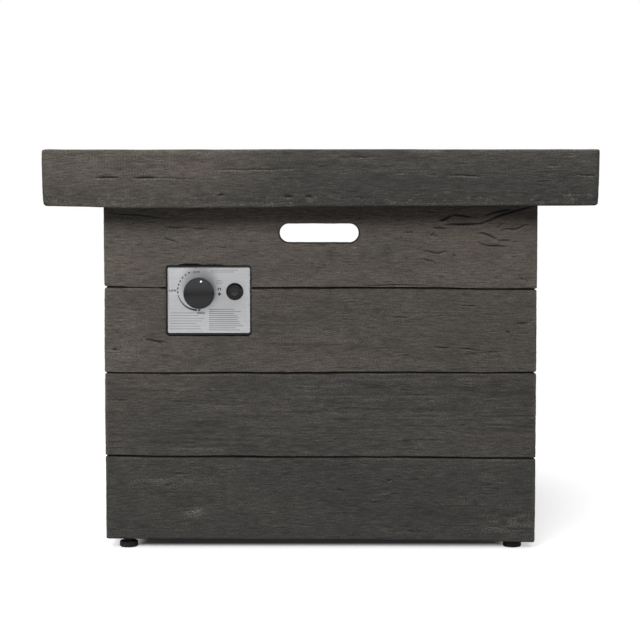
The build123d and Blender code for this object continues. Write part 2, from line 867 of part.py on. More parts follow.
def lava_rock(rng, centre, size):
    """One broken stone inside its own cell: a block with its corners struck off, flat underneath."""
    width, depth, height = size
    stone = Box(width, depth, height)
    reach = Vector(width, depth, height) / 2
    for n in range(rock_facets):
        around = math.radians(360 / rock_facets * (n + rng.uniform(0.1, 0.9)))
        up = math.radians(rng.uniform(-25, 60))
        facing = Vector(math.cos(around) * math.cos(up), math.sin(around) * math.cos(up), math.sin(up))
        support = abs(facing.X) * reach.X + abs(facing.Y) * reach.Y + abs(facing.Z) * reach.Z
        cut = Plane(origin=facing * support * rng.uniform(*rock_strike), z_dir=facing)
        stone = split(stone, bisect_by=cut, keep=Keep.BOTTOM)
    return Pos(*centre) * stone


def clear_of_burner(x, y, reach):
    """True where a stone of that reach misses the ring, the inlet and the pilot cage."""
    distance = math.hypot(x, y)
    off_ring = abs(distance - ring_radius) > ring_tube_radius + reach
    return off_ring and clear_of_cage(x, y, reach)


def clear_of_cage(x, y, reach):
    angle = math.radians(pilot_angle)
    gap = Vector(x - pilot_radius * math.cos(angle), y - pilot_radius * math.sin(angle))
    return gap.length > cage_size * 0.62 + reach


def rock_rows(rng, width):
    """Splits a width into cells of uneven size."""
    count = round(width / rock_pitch)
    shares = [rng.uniform(0.82, 1.18) for n in range(count)]
    edges = [-width / 2]
    for share in shares:
        edges.append(edges[-1] + width * share / sum(shares))
    return list(zip(edges, edges[1:]))


def lava_rocks():
    """Two layers of stones: the lower one on the bowl's floor, and the upper one over the ring."""
    rng = random.Random(rock_seed)
    width = 2 * (bowl_half - bowl_wall - rock_bed_margin)
    stones = []
    upper_floor = max(floor_top + rock_lower_height, ring_z + ring_tube_radius)
    for layer in (0, 1):
        for y0, y1 in rock_rows(rng, width):
            for x0, x1 in rock_rows(rng, width):
                x, y = (x0 + x1) / 2, (y0 + y1) / 2
                wide, deep = x1 - x0 - rock_gap, y1 - y0 - rock_gap
                lift = rng.uniform(0, rock_height_spread)
                reach = 0.5 * max(wide, deep)
                if layer == 0:
                    tall = rock_lower_height
                    z = floor_top + tall / 2
                    wanted = clear_of_burner(x, y, 1.25 * reach)
                else:
                    tall = rock_upper_height + 2 * lift
                    z = upper_floor + rock_gap + tall / 2
                    wanted = clear_of_cage(x, y, reach)
                if wanted:
                    stones.append(lava_rock(rng, (x, y, z), (wide, deep, tall)))
    return stones


# ---------------------------------------------------------------------------------------------
# Control plate and tray
# ---------------------------------------------------------------------------------------------


def at_plate(depth_y):
    """A plane at the plate's centre, facing the rear of the table, at a depth."""
    return Plane(origin=(plate_x, depth_y, plate_z), x_dir=(1, 0, 0), z_dir=BACKWARD)


def plate_outline(margin):
    """The control plate's outline, grown by a margin."""
    return RectangleRounded(plate_width + 2 * margin, plate_height + 2 * margin, plate_radius + margin)


def control_holes(shape):
    """Cuts the holes of the valve's neck and the igniter's barrel."""
    start = plate_front_y - overcut
    length = plate_thickness + tray_wall + 2 * overcut
    shape -= rod(neck_radius + hole_clearance, length, (valve_x, start, valve_z), BACKWARD)
    shape -= rod(barrel_radius + hole_clearance, length, (igniter_x, start, igniter_z), BACKWARD)
    return shape


def control_plate():
    return control_holes(at_plate(plate_front_y) * extrude(plate_outline(0.0), plate_thickness))


def control_tray():
    """A shallow folded tray: a wall behind the plate, four sides and a flange on the panel's inner face."""
    side = plate_margin - tray_gap
    depth = inner_front_y - plate_back_y
    tray = at_plate(plate_back_y) * extrude(plate_outline(side), depth + tray_wall)
    tray += at_plate(inner_front_y) * extrude(plate_outline(side + tray_flange), tray_wall)
    tray -= at_plate(tray_back_y) * extrude(plate_outline(side - tray_wall), depth + tray_wall)
    tray = control_holes(tray)
    for x, y, z in tray_screw_places():
        tray -= rod(screw_radius + hole_clearance, tray_wall + 2 * overcut, (x, y - overcut, z), BACKWARD)
    return tray


def tray_screw_places():
    """Points on the panel's inner face where the tray's four screws enter."""
    dx = plate_width / 2 + plate_margin + tray_flange / 2
    dz = plate_height / 2 - tray_screw_inset
    return [(plate_x + i * dx, inner_front_y, plate_z + k * dz) for i in (-1, 1) for k in (-1, 1)]


def pan_screw(point, direction, under_head):
    """A round-head screw whose head bears on a sheet of the given thickness at the point."""
    seat = Vector(point) - Vector(direction) * under_head
    head_back = seat - Vector(direction) * screw_head_height
    head = rod(screw_head_radius, screw_head_height, head_back, direction)
    shank = rod(screw_radius, screw_length - hole_clearance + under_head, seat, direction)
    return head + shank


def tray_screws():
    return [pan_screw(place, FORWARD, tray_wall) for place in tray_screw_places()]


# ---------------------------------------------------------------------------------------------
# Gas valve and knob
# ---------------------------------------------------------------------------------------------


def keyed_rod(radius, flat, length):
    """A rod along +Z with one flat, which keys it to its neighbour."""
    section = Circle(radius) - Pos(0, radius) * Rectangle(4 * radius, 2 * flat)
    return extrude(section, length)


def valve_body():
    """The valve's casting: a block, the neck through the plate, and bores for the moving pieces."""
    height = valve_body_above + valve_body_below
    centre_z = valve_z + (valve_body_above - valve_body_below) / 2
    block = Plane(origin=(valve_x, valve_front_y, centre_z), x_dir=(1, 0, 0), z_dir=BACKWARD) * extrude(
        RectangleRounded(valve_body_width, height, valve_body_radius), valve_body_depth
    )
    neck = valve_front_y - neck_front_y + overcut
    block += rod(neck_radius, neck, (valve_x, neck_front_y, valve_z), BACKWARD)
    block += hexagon(jet_hex_width, outlet_hex_height, (valve_x, valve_back_y, outlet_z), BACKWARD)
    block += rod(flare_radius, flare_length, (valve_x, valve_back_y + outlet_hex_height, outlet_z), BACKWARD)
    block -= valve_bore(stem_radius + stem_clearance, neck_front_y - overcut, chamber_y + overcut)
    block -= valve_bore(neck_chamber_radius, chamber_y, rotor_front_y)
    seat = Pos(0, 0, rotor_length / 2) * Cone(rotor_radius, rotor_radius - rotor_taper, rotor_length)
    block -= aim(seat, (valve_x, rotor_front_y, valve_z), BACKWARD)
    block -= valve_bore(plunger_radius + stem_clearance, rotor_back_y - overcut, valve_back_y)
    magnet_bore = magnet_thread_radius + running_clearance
    block -= valve_bore(magnet_bore, valve_back_y - magnet_thread_length, valve_back_y + overcut)
    return block


def valve_bore(radius, start_y, end_y):
    """A round bore on the valve's axis."""
    return rod(radius, end_y - start_y, (valve_x, start_y, valve_z), BACKWARD)


def valve_rotor():
    """The tapered plug that opens the gas way. The stem's flat turns it and slides through it."""
    radius = rotor_radius - running_clearance
    length = rotor_length - 2 * rotor_end_gap
    plug = Pos(0, 0, rotor_length / 2) * Cone(radius, radius - rotor_taper, length)
    keyway = keyed_rod(stem_radius + stem_clearance, stem_flat - stem_clearance, rotor_length + 2 * overcut)
    plug -= Pos(0, 0, -overcut) * keyway
    plug -= rod(gas_way_radius, 4 * rotor_radius, (0, -2 * rotor_radius, rotor_length / 2), BACKWARD)
    return aim(plug, (valve_x, rotor_front_y, valve_z), BACKWARD)


def valve_stem():
    """The keyed stem from the knob's hub to the rotor, with the collar that the spring pushes on."""
    length = stem_back_y - stem_front_y
    stem = aim(keyed_rod(stem_radius, stem_flat, length), (valve_x, stem_front_y, valve_z), BACKWARD)
    stem += rod(stem_collar_radius, stem_collar_length, (valve_x, collar_y, valve_z), BACKWARD)
    return stem


def coil_spring(coil_radius, turns, length, point, direction):
    """A round-wire spring along a direction from a point, its wire inside that length."""
    height = length - 2 * spring_wire_radius
    path = Helix(pitch=height / turns, height=height, radius=coil_radius)
    start = path @ 0
    wire = sweep(Plane(origin=start, z_dir=path % 0) * Circle(spring_wire_radius), path=path)
    return aim(Pos(0, 0, spring_wire_radius) * wire, point, direction)


def valve_spring():
    start_y = collar_y + stem_collar_length + spring_gap
    length = rotor_front_y - spring_gap - start_y
    place = (valve_x, start_y, valve_z)
    return coil_spring(valve_spring_radius, valve_spring_turns, length, place, BACKWARD)


def valve_plunger():
    """The push rod from the stem's end to the flame-failure unit."""
    end_y = valve_back_y - magnet_thread_length - knob_push - plunger_gap
    start_y = stem_back_y + running_clearance
    return rod(plunger_radius, end_y - start_y, (valve_x, start_y, valve_z), BACKWARD)


def neck_nut():
    place = (valve_x, plate_front_y - neck_nut_height, valve_z)
    return hexagon(neck_nut_width, neck_nut_height, place, BACKWARD, bore=neck_radius + running_clearance)


def magnet_unit():
    """The flame-failure magnet in its screwed can."""
    thread_y = valve_back_y - magnet_thread_length
    unit = rod(magnet_thread_radius, magnet_thread_length, (valve_x, thread_y, valve_z), BACKWARD)
    unit += rod(magnet_radius, magnet_length, (valve_x, valve_back_y, valve_z), BACKWARD)
    return fillet(unit.edges().sort_by(Axis.Y)[-1], magnet_edge_radius)


def sensor_nut():
    place = (valve_x, magnet_back_y, valve_z)
    bore = sensor_lead_radius + running_clearance
    return hexagon(sensor_nut_width, sensor_nut_length, place, BACKWARD, bore=bore)


def inlet_fitting():
    """The screwed fitting under the valve where the supply hose is made fast."""
    hex_bottom = valve_bottom - inlet_hex_height
    fitting = hexagon(inlet_hex_width, inlet_hex_height, (valve_x, inlet_y, hex_bottom))
    flare_bottom = hex_bottom - inlet_flare_length
    fitting += rod(inlet_flare_radius, inlet_flare_length, (valve_x, inlet_y, flare_bottom))
    bore_length = inlet_flare_length + inlet_hex_height + 2 * overcut
    fitting -= rod(inlet_fitting_bore, bore_length, (valve_x, inlet_y, flare_bottom - overcut))
    return fitting


def control_knob():
    """A round moulded knob with a slightly domed face, a hollow back and a keyed hub."""
    inner_radius = knob_front_radius - knob_wall
    web_z = knob_height - knob_web
    rim_z = knob_height - knob_edge_radius
    rim_radius = knob_front_radius - knob_edge_radius
    diagonal = knob_edge_radius * math.sin(math.radians(45))
    profile = Polyline(
        (0, knob_height + knob_dome),
        (0, hub_recess),
        (knob_hub_radius, hub_recess),
        (knob_hub_radius, web_z),
        (inner_radius, web_z),
        (inner_radius, 0),
        (knob_radius, 0),
        (knob_radius, knob_skirt),
        (knob_front_radius, rim_z),
    )
    profile += ThreePointArc(
        (knob_front_radius, rim_z), (rim_radius + diagonal, rim_z + diagonal), (rim_radius, knob_height)
    )
    dome_z = knob_height + knob_dome
    dome_middle = (rim_radius / 2, knob_height + 0.75 * knob_dome)
    profile += ThreePointArc((rim_radius, knob_height), dome_middle, (0, dome_z))
    knob = revolve(Plane.XZ * make_face(profile), Axis.Z)
    knob -= pointer_place() * extrude(Circle(pointer_radius), pointer_depth + knob_dome + overcut)
    length = knob_back_y - stem_front_y
    bore = keyed_rod(stem_radius + running_clearance, stem_flat - running_clearance, length)
    return place_knob(knob) - aim(bore, (valve_x, stem_front_y, valve_z), BACKWARD)


def place_knob(shape):
    """Turns a knob drawn along +Z to face forward, with +Y up, and puts it on the valve's axis."""
    return Plane(origin=(valve_x, knob_back_y, valve_z), x_dir=(1, 0, 0), z_dir=FORWARD) * shape


def knob_pointer():
    """The pale dot near the knob's rim."""
    dome_here = knob_dome * (1 - (pointer_offset / knob_front_radius) ** 2)
    dot = extrude(Circle(pointer_radius - running_clearance), pointer_depth + dome_here + pointer_proud)
    return place_knob(pointer_place() * dot)


def pointer_place():
    """The floor of the dot's pocket in a knob drawn along +Z."""
    return Rot(0, 0, -pointer_turn) * Pos(0, pointer_offset, knob_height - pointer_depth)


# ---------------------------------------------------------------------------------------------
# Igniter
# ---------------------------------------------------------------------------------------------

igniter_face_y = plate_front_y - igniter_flange_height
cap_back_y = igniter_face_y - cap_gap
cap_front_y = cap_back_y - cap_height
button_front_y = cap_front_y - button_proud
button_back_y = button_front_y + button_length
battery_back_y = igniter_back_y - barrel_end
battery_front_y = battery_back_y - battery_length
contact_back_y = battery_front_y - battery_nipple_length - contact_gap
cap_skirt_radius = barrel_bore - running_clearance
contact_front_y = contact_back_y - contact_thickness


def at_igniter(y):
    return (igniter_x, y, igniter_z)


def igniter_body():
    """The threaded barrel with its front flange and two terminal bosses."""
    body = rod(igniter_flange_radius, igniter_flange_height, at_igniter(igniter_face_y), BACKWARD)
    body = chamfer(body.edges().sort_by(Axis.Y)[0], igniter_flange_height * 0.4)
    body += rod(barrel_radius, barrel_length, at_igniter(plate_front_y), BACKWARD)
    body -= rod(barrel_bore, battery_front_y - igniter_face_y, at_igniter(igniter_face_y), BACKWARD)
    cell_bore = battery_radius + battery_clearance
    body -= rod(cell_bore, battery_back_y - igniter_face_y, at_igniter(igniter_face_y), BACKWARD)
    for offset in (-terminal_offset, terminal_offset):
        boss = (igniter_x + offset, igniter_back_y, igniter_z)
        body += rod(terminal_radius, terminal_length, boss, BACKWARD)
    return body


def igniter_nut():
    ring = Circle(igniter_nut_radius) - Circle(barrel_radius + running_clearance)
    notch = Pos(igniter_nut_radius, 0) * Circle(igniter_notch_radius)
    for n in range(igniter_nut_notches):
        ring -= Rot(0, 0, 360 / igniter_nut_notches * n) * notch
    return aim(extrude(ring, igniter_nut_height), at_igniter(tray_back_y), BACKWARD)


def igniter_cap():
    """The ring that screws into the barrel and holds the button."""
    cap = rod(cap_radius, cap_height, at_igniter(cap_front_y), BACKWARD)
    front_edge = cap.edges().sort_by(Axis.Y)[0]
    cap = chamfer(front_edge, cap_chamfer)
    cap += rod(cap_skirt_radius, cap_skirt_length, at_igniter(cap_back_y), BACKWARD)
    length = cap_height + cap_gap + cap_skirt_length + 2 * overcut
    cap -= rod(button_radius + button_clearance, length, at_igniter(cap_front_y - overcut), BACKWARD)
    inner_y = button_back_y - button_stop_height - hole_clearance
    cap -= rod(cap_skirt_radius - cap_skirt_wall, length, at_igniter(inner_y), BACKWARD)
    return cap


def igniter_button():
    """The push button, dished in front, with a stop flange behind the cap."""
    button = rod(button_radius, button_length, at_igniter(button_front_y), BACKWARD)
    button = fillet(button.edges().sort_by(Axis.Y)[0], button_edge_radius)
    stop_y = button_back_y - button_stop_height
    button += rod(button_stop_radius, button_stop_height, at_igniter(stop_y), BACKWARD)
    button -= Pos(igniter_x, button_front_y - dish_radius + dish_depth, igniter_z) * Sphere(dish_radius)
    return button


def igniter_spring():
    start_y = button_back_y + spring_gap
    length = contact_front_y - spring_gap - start_y
    return coil_spring(igniter_spring_radius, igniter_spring_turns, length, at_igniter(start_y), BACKWARD)


def igniter_contact():
    return rod(contact_radius, contact_thickness, at_igniter(contact_front_y), BACKWARD)


def battery():
    cell = rod(battery_radius, battery_length, at_igniter(battery_front_y), BACKWARD)
    cell = fillet(cell.edges().sort_by(Axis.Y)[0], battery_edge_radius)
    nipple_y = battery_front_y - battery_nipple_length
    cell += rod(battery_nipple_radius, battery_nipple_length + overcut, at_igniter(nipple_y), BACKWARD)
    return cell


# ---------------------------------------------------------------------------------------------
# Heat shield and hose grommet
# ---------------------------------------------------------------------------------------------


def shield_screw_places():
    z = shield_z + shield_leg / 2
    return [(plate_x + side * shield_screw_spacing / 2, inner_front_y, z) for side in (-1, 1)]


def heat_shield():
    """A folded sheet over the controls, screwed to the front panel's inner face."""
    x0, x1 = plate_x - shield_width / 2, plate_x + shield_width / 2
    y0 = inner_front_y
    shield = bar(x0, x1, y0, y0 + shield_reach, shield_z, shield_z + shield_sheet)
    shield += bar(x0, x1, y0, y0 + shield_sheet, shield_z, shield_z + shield_leg)
    lip_y = y0 + shield_reach
    shield += bar(x0, x1, lip_y - shield_sheet, lip_y, shield_z - shield_lip, shield_z + shield_sheet)
    for x, y, z in shield_screw_places():
        shield -= rod(screw_radius + hole_clearance, shield_sheet + 2 * overcut, (x, y - overcut, z), BACKWARD)
    return shield


def shield_screws():
    return [pan_screw(place, FORWARD, shield_sheet) for place in shield_screw_places()]


def hose_grommet():
    """A rubber bush in the rear panel for the supply hose."""
    start_y = inner_half - grommet_lip
    length = panel_thickness + 2 * grommet_lip
    place = (grommet_x, start_y, grommet_z)
    bush = rod(grommet_radius, length, place, BACKWARD)
    bush += rod(grommet_lip_radius, grommet_lip, place, BACKWARD)
    bush += rod(grommet_lip_radius, grommet_lip, (grommet_x, half, grommet_z), BACKWARD)
    bush -= rod(grommet_bore, length + 2 * overcut, (grommet_x, start_y - overcut, grommet_z), BACKWARD)
    return bush


# ---------------------------------------------------------------------------------------------
# Write every sub-part
# ---------------------------------------------------------------------------------------------

CORNERS = ("front_left", "front_right", "rear_right", "rear_left")


def main():
    os.makedirs("parts", exist_ok=True)
    save("top_slab", top_slab())
    save("front_panel", front_panel())
    save("rear_panel", rear_panel())
    save("right_panel", turned(side_panel(), 1))
    save("left_panel", turned(side_panel(), 3))
    for quarter, corner in enumerate(CORNERS):
        save(f"corner_post_{corner}", turned(corner_post(), quarter))
        save(f"foot_pad_{corner}", turned(foot_pad(), quarter))
        save(f"foot_stud_{corner}", turned(foot_stud(), quarter))
    save_group("foot_nuts", [turned(foot_nut(), quarter) for quarter in range(4)])
    save_group("panel_bolts", panel_bolts())
    save_group("slab_bolts", slab_bolts())
    save("fire_bowl", fire_bowl())
    save("burner_ring", burner_ring())
    save_group("burner_standoffs", burner_standoffs())
    save("burner_locknut", burner_locknut())
    save("air_mixer", air_mixer())
    save("gas_jet", gas_jet())
    outlet_face = (valve_x, valve_back_y + outlet_hex_height, outlet_z)
    jet_face = (-ring_radius, 0, jet_bottom)
    save_group("flare_nuts", [flare_nut(jet_face, DOWN), flare_nut(outlet_face, BACKWARD)])
    save("gas_hose", gas_hose())
    save("pilot_bracket", pilot_bracket())
    save("electrode_insulator", electrode_insulator())
    save("spark_electrode", spark_electrode())
    save("flame_sensor", flame_sensor())
    save("pilot_cage", pilot_cage())
    save("ignition_lead", ignition_lead())
    save("sensor_lead", sensor_lead())
    save_group("lava_rocks", lava_rocks())
    save("control_plate", control_plate())
    save("control_tray", control_tray())
    save_group("tray_screws", tray_screws())
    save("valve_body", valve_body())
    save("valve_rotor", valve_rotor())
    save("valve_stem", valve_stem())
    save("valve_spring", valve_spring())
    save("valve_plunger", valve_plunger())
    save("neck_nut", neck_nut())
    save("magnet_unit", magnet_unit())
    save("sensor_nut", sensor_nut())
    save("inlet_fitting", inlet_fitting())
    save("control_knob", control_knob())
    save("knob_pointer", knob_pointer())
    save("igniter_body", igniter_body())
    save("igniter_nut", igniter_nut())
    save("igniter_cap", igniter_cap())
    save("igniter_button", igniter_button())
    save("igniter_spring", igniter_spring())
    save("igniter_contact", igniter_contact())
    save("battery", battery())
    save("heat_shield", heat_shield())
    save_group("shield_screws", shield_screws())
    save("hose_grommet", hose_grommet())


main()
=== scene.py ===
"""A square gas fire table: a wood-grained casting with a steel bowl, lava stones and a control plate."""

import json
import math

import bmesh
import bpy
import numpy as np
from bpy.props import FloatProperty, FloatVectorProperty, IntProperty, PointerProperty
from mathutils import Matrix, Vector, noise


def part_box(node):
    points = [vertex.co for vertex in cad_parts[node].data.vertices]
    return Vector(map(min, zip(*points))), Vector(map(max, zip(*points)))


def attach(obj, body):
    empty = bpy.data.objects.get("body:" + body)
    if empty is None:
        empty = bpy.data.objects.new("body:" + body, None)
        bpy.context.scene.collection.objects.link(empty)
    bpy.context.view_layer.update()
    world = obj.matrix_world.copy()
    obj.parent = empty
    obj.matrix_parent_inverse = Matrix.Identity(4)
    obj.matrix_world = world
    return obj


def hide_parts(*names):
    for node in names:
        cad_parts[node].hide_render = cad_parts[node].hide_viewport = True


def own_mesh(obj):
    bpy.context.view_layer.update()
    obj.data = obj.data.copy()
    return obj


bl_info = {
    "name": "Gas Fire Table",
    "version": (1, 0, 0),
    "blender": (4, 5, 0),
    "location": "3D View > Sidebar > Fire Table",
    "description": "Dresses the fire table's frame with its castings, stones, plate, metals and stage",
    "category": "Object",
}

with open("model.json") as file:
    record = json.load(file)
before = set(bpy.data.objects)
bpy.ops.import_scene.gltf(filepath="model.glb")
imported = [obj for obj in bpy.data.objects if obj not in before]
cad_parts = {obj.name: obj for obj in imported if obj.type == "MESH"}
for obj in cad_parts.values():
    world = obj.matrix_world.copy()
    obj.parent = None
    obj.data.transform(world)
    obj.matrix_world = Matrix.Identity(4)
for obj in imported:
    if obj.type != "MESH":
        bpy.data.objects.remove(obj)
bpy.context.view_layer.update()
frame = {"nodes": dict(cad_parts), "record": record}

# Everything about the castings is worked out in millimetres and scaled to metres at the end.
MM = 0.001


def in_mm(value):
    return value / MM


# ---------------------------------------------------------------------------------------------
# Places read from the frame, in millimetres
# ---------------------------------------------------------------------------------------------

BASE_HALF = in_mm(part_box("right_panel")[1].x)
BASE_BOTTOM = in_mm(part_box("front_panel")[0].z)
WALL = in_mm(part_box("front_panel")[1].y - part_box("front_panel")[0].y)
SLAB_HALF = in_mm(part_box("top_slab")[1].x)
SLAB_BOTTOM = in_mm(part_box("top_slab")[0].z)
SLAB_TOP = in_mm(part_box("top_slab")[1].z)
PLATE_LOW, PLATE_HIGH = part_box("control_plate")
SEAM_DEPTH = 5.0


def seam_levels():
    """Heights of the seams between planks: the roots of the grooves in the front panel's frame node."""
    root = -BASE_HALF + SEAM_DEPTH
    mesh = frame["nodes"]["front_panel"].data
    return sorted({round(in_mm(v.co.z), 1) for v in mesh.vertices if abs(in_mm(v.co.y) - root) < 0.05})


SEAMS = seam_levels()

# The slab's underside, rib, apron, skin and bowl rebate, as the frame has them
APRON = 18.0
SKIN_UNDERSIDE = SLAB_TOP - 18.0
RIB_INNER = BASE_HALF - 36.0
OPENING_HALF = 165.0
REBATE_HALF = 186.0
REBATE_FLOOR = SLAB_TOP - 2.2
TOP_SEAM_HALF = (SLAB_HALF + REBATE_HALF) / 2
TOP_SEAM_DEPTH = 3.0

# Openings in the panels: the grip slot, the rear vent slot, the hose hole and the control plate's recess
GRIP_SIZE = (119.0, 28.0)
GRIP_PLACE = (-2.0, SLAB_BOTTOM - 41.2)
VENT_SIZE = (164.0, 50.0)
VENT_LEVEL = SLAB_BOTTOM - 51.0
HOSE_HOLE_RADIUS = 13.0
RECESS_MARGINS = (2.3, 1.9, 4.7, 2.7)  # left, right, below and above the plate
RECESS_CORNER = 5.0


# ---------------------------------------------------------------------------------------------
# Settings a user may change
# ---------------------------------------------------------------------------------------------


def hex_colour(text):
    """An sRGB hex value as linear red, green and blue."""
    parts = [int(text[n : n + 2], 16) / 255 for n in (0, 2, 4)]
    return [c / 12.92 if c <= 0.04045 else ((c + 0.055) / 1.055) ** 2.4 for c in parts]


def colour_setting(name, description, value):
    return FloatVectorProperty(
        name=name, description=description, default=hex_colour(value), size=3, min=0, max=1, subtype="COLOR"
    )


def length_setting(name, description, millimetres):
    return FloatProperty(name=name, description=description, default=millimetres * MM, unit="LENGTH", min=0)


class CastingSettings(bpy.types.PropertyGroup):
    """Sizes of the castings' relief."""

    row_step: length_setting("Row step", "Height of a mesh cell on the front", 1.2)
    column_step: length_setting("Column step", "Width of a mesh cell on the front", 3.0)
    hidden_step: length_setting("Rear step", "Height of a mesh cell on the other sides", 2.0)
    seam_wave: length_setting("Seam wave", "How far a seam strays from its level", 0.9)
    swell: length_setting("Swell", "Depth of the broad hollows in a plank", 0.5)
    grain_depth: length_setting("Grain depth", "Depth of the raised grain", 0.34)
    crack_depth: length_setting("Crack depth", "Depth of the deepest checks", 1.7)
    checks_per_metre: IntProperty(name="Checks", description="Short cracks a metre", default=16, min=0)
    seed: IntProperty(name="Seed", description="Seed of the grain", default=5, min=0)


class FinishColours(bpy.types.PropertyGroup):
    """Colours of the finishes."""

    stain: colour_setting("Charcoal stain", "The casting's main colour", "3e3d3b")
    brown: colour_setting("Brown stain", "The warmer patches of the casting", "46413c")
    rubbed: colour_setting("Rubbed edges", "Pale filler that shows where the stain has worn", "87817a")
    soot: colour_setting("Seam stain", "The dark stain that stays in seams and cracks", "141413")
    steel: colour_setting("Stainless steel", "The plate, the bowl and the burner", "e3e4e6")
    plastic: colour_setting("Black plastic", "The knob and the igniter", "0c0d0e")
    lava: colour_setting("Lava stone", "The stones' main colour", "3a3433")


class StageSettings(bpy.types.PropertyGroup):
    """The camera's place and the light level."""

    distance: FloatProperty(name="Distance", description="Camera to slab", default=2.65, unit="LENGTH")
    shift: FloatProperty(name="Shift", description="Camera to the right", default=-0.0008, unit="LENGTH")
    height: FloatProperty(name="Height", description="Camera above the ground", default=0.531, unit="LENGTH")
    lens: FloatProperty(name="Lens", description="Focal length", default=102.25, unit="CAMERA")
    tilt: FloatProperty(
        name="Tilt", description="Camera's downward tilt", default=math.radians(3.797), subtype="ANGLE"
    )
    ambient: FloatProperty(name="Ambient", description="Light from all round", default=0.32, min=0)
    key: FloatProperty(name="Key", description="Power of the large front lamp in watts", default=132.0, min=0)


# ---------------------------------------------------------------------------------------------
# Small helpers
# ---------------------------------------------------------------------------------------------

SHARP_ANGLE = math.radians(62)


def add_object(name, data):
    """An object in the scene that shows the data."""
    item = bpy.data.objects.new(name, data)
    bpy.context.scene.collection.objects.link(item)
    return item


def mesh_object(bm, name, material):
    """An object of the bmesh, which is freed."""
    mesh = bpy.data.meshes.new(name)
    bm.to_mesh(mesh)
    bm.free()
    mesh.materials.append(material)
    return add_object(name, mesh)


def finish_mesh(bm, name, material, hides=(), body="root"):
    """Turns a bmesh into a piece of the table that rides on a body and may replace nodes of the frame."""
    piece = mesh_object(bm, name, material)
    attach(piece, body)
    if hides:
        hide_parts(*hides)
    return piece


def graded(start, end, step, marks=(), fine=0.0, reach=8.0):
    """Places from start to end, a step apart, that close up to the fine step near a mark."""
    sign = 1 if end > start else -1
    places = [start]
    while True:
        near = min((abs(places[-1] - mark) for mark in marks), default=math.inf)
        wanted = step if near >= reach else fine + (step - fine) * near / reach
        if abs(end - places[-1]) <= 1.5 * wanted:
            break
        places.append(places[-1] + sign * wanted)
    places.append(end)
    for mark in marks:
        nearest = min(range(len(places)), key=lambda n: abs(places[n] - mark))
        if 0 < nearest < len(places) - 1:
            places[nearest] = mark
    return places


def rounded(corner, radius, into, out_of, count=3):
    """Points of an arc at a corner between two directions at right angles."""
    corner, into, out_of = Vector(corner), Vector(into), Vector(out_of)
    centre = corner - into * radius + out_of * radius
    turns = [math.pi / 2 * n / count for n in range(count + 1)]
    return [tuple(centre + radius * (into * math.sin(t) - out_of * math.cos(t))) for t in turns]


def ease(value):
    value = np.clip(value, 0, 1)
    return value * value * (3 - 2 * value)


# ---------------------------------------------------------------------------------------------
# Wood relief, in millimetres: u runs round the table along the grain, v across the planks
# ---------------------------------------------------------------------------------------------

NOISE_ROWS = 512
PLANK_SLIDE = (317.0, 71.0)

# Layers of noise: share, length along and height across the grain, and seed
FLOW = ((7, 320, 70, 1), (2.5, 120, 26, 2))
RIDGES = ((0.36, 95, 9, 4), (0.36, 38, 4.8, 5), (0.28, 17, 3.5, 6))
STREAKS = ((1, 48, 3.2, 61), (0.5, 150, 7, 62))
OPEN_LINES = ((150, 8.5, 8), (60, 5.0, 9))  # length, height and seed


def waves(u, v, length, height, period, seed):
    """Smooth noise between -1 and 1, a length by a height in scale, that repeats after a period along u."""
    cells = max(2, round(period / length))
    table = np.random.default_rng(seed).uniform(-1, 1, (cells, NOISE_ROWS))
    across, up = u * cells / period, v / height
    column, row = np.floor(across).astype(int), np.floor(up).astype(int)
    right, above = ease(across - column), ease(up - row)

    def along_row(number):
        near, far = [table[n % cells, number % NOISE_ROWS] for n in (column, column + 1)]
        return near * (1 - right) + far * right

    return along_row(row) * (1 - above) + along_row(row + 1) * above


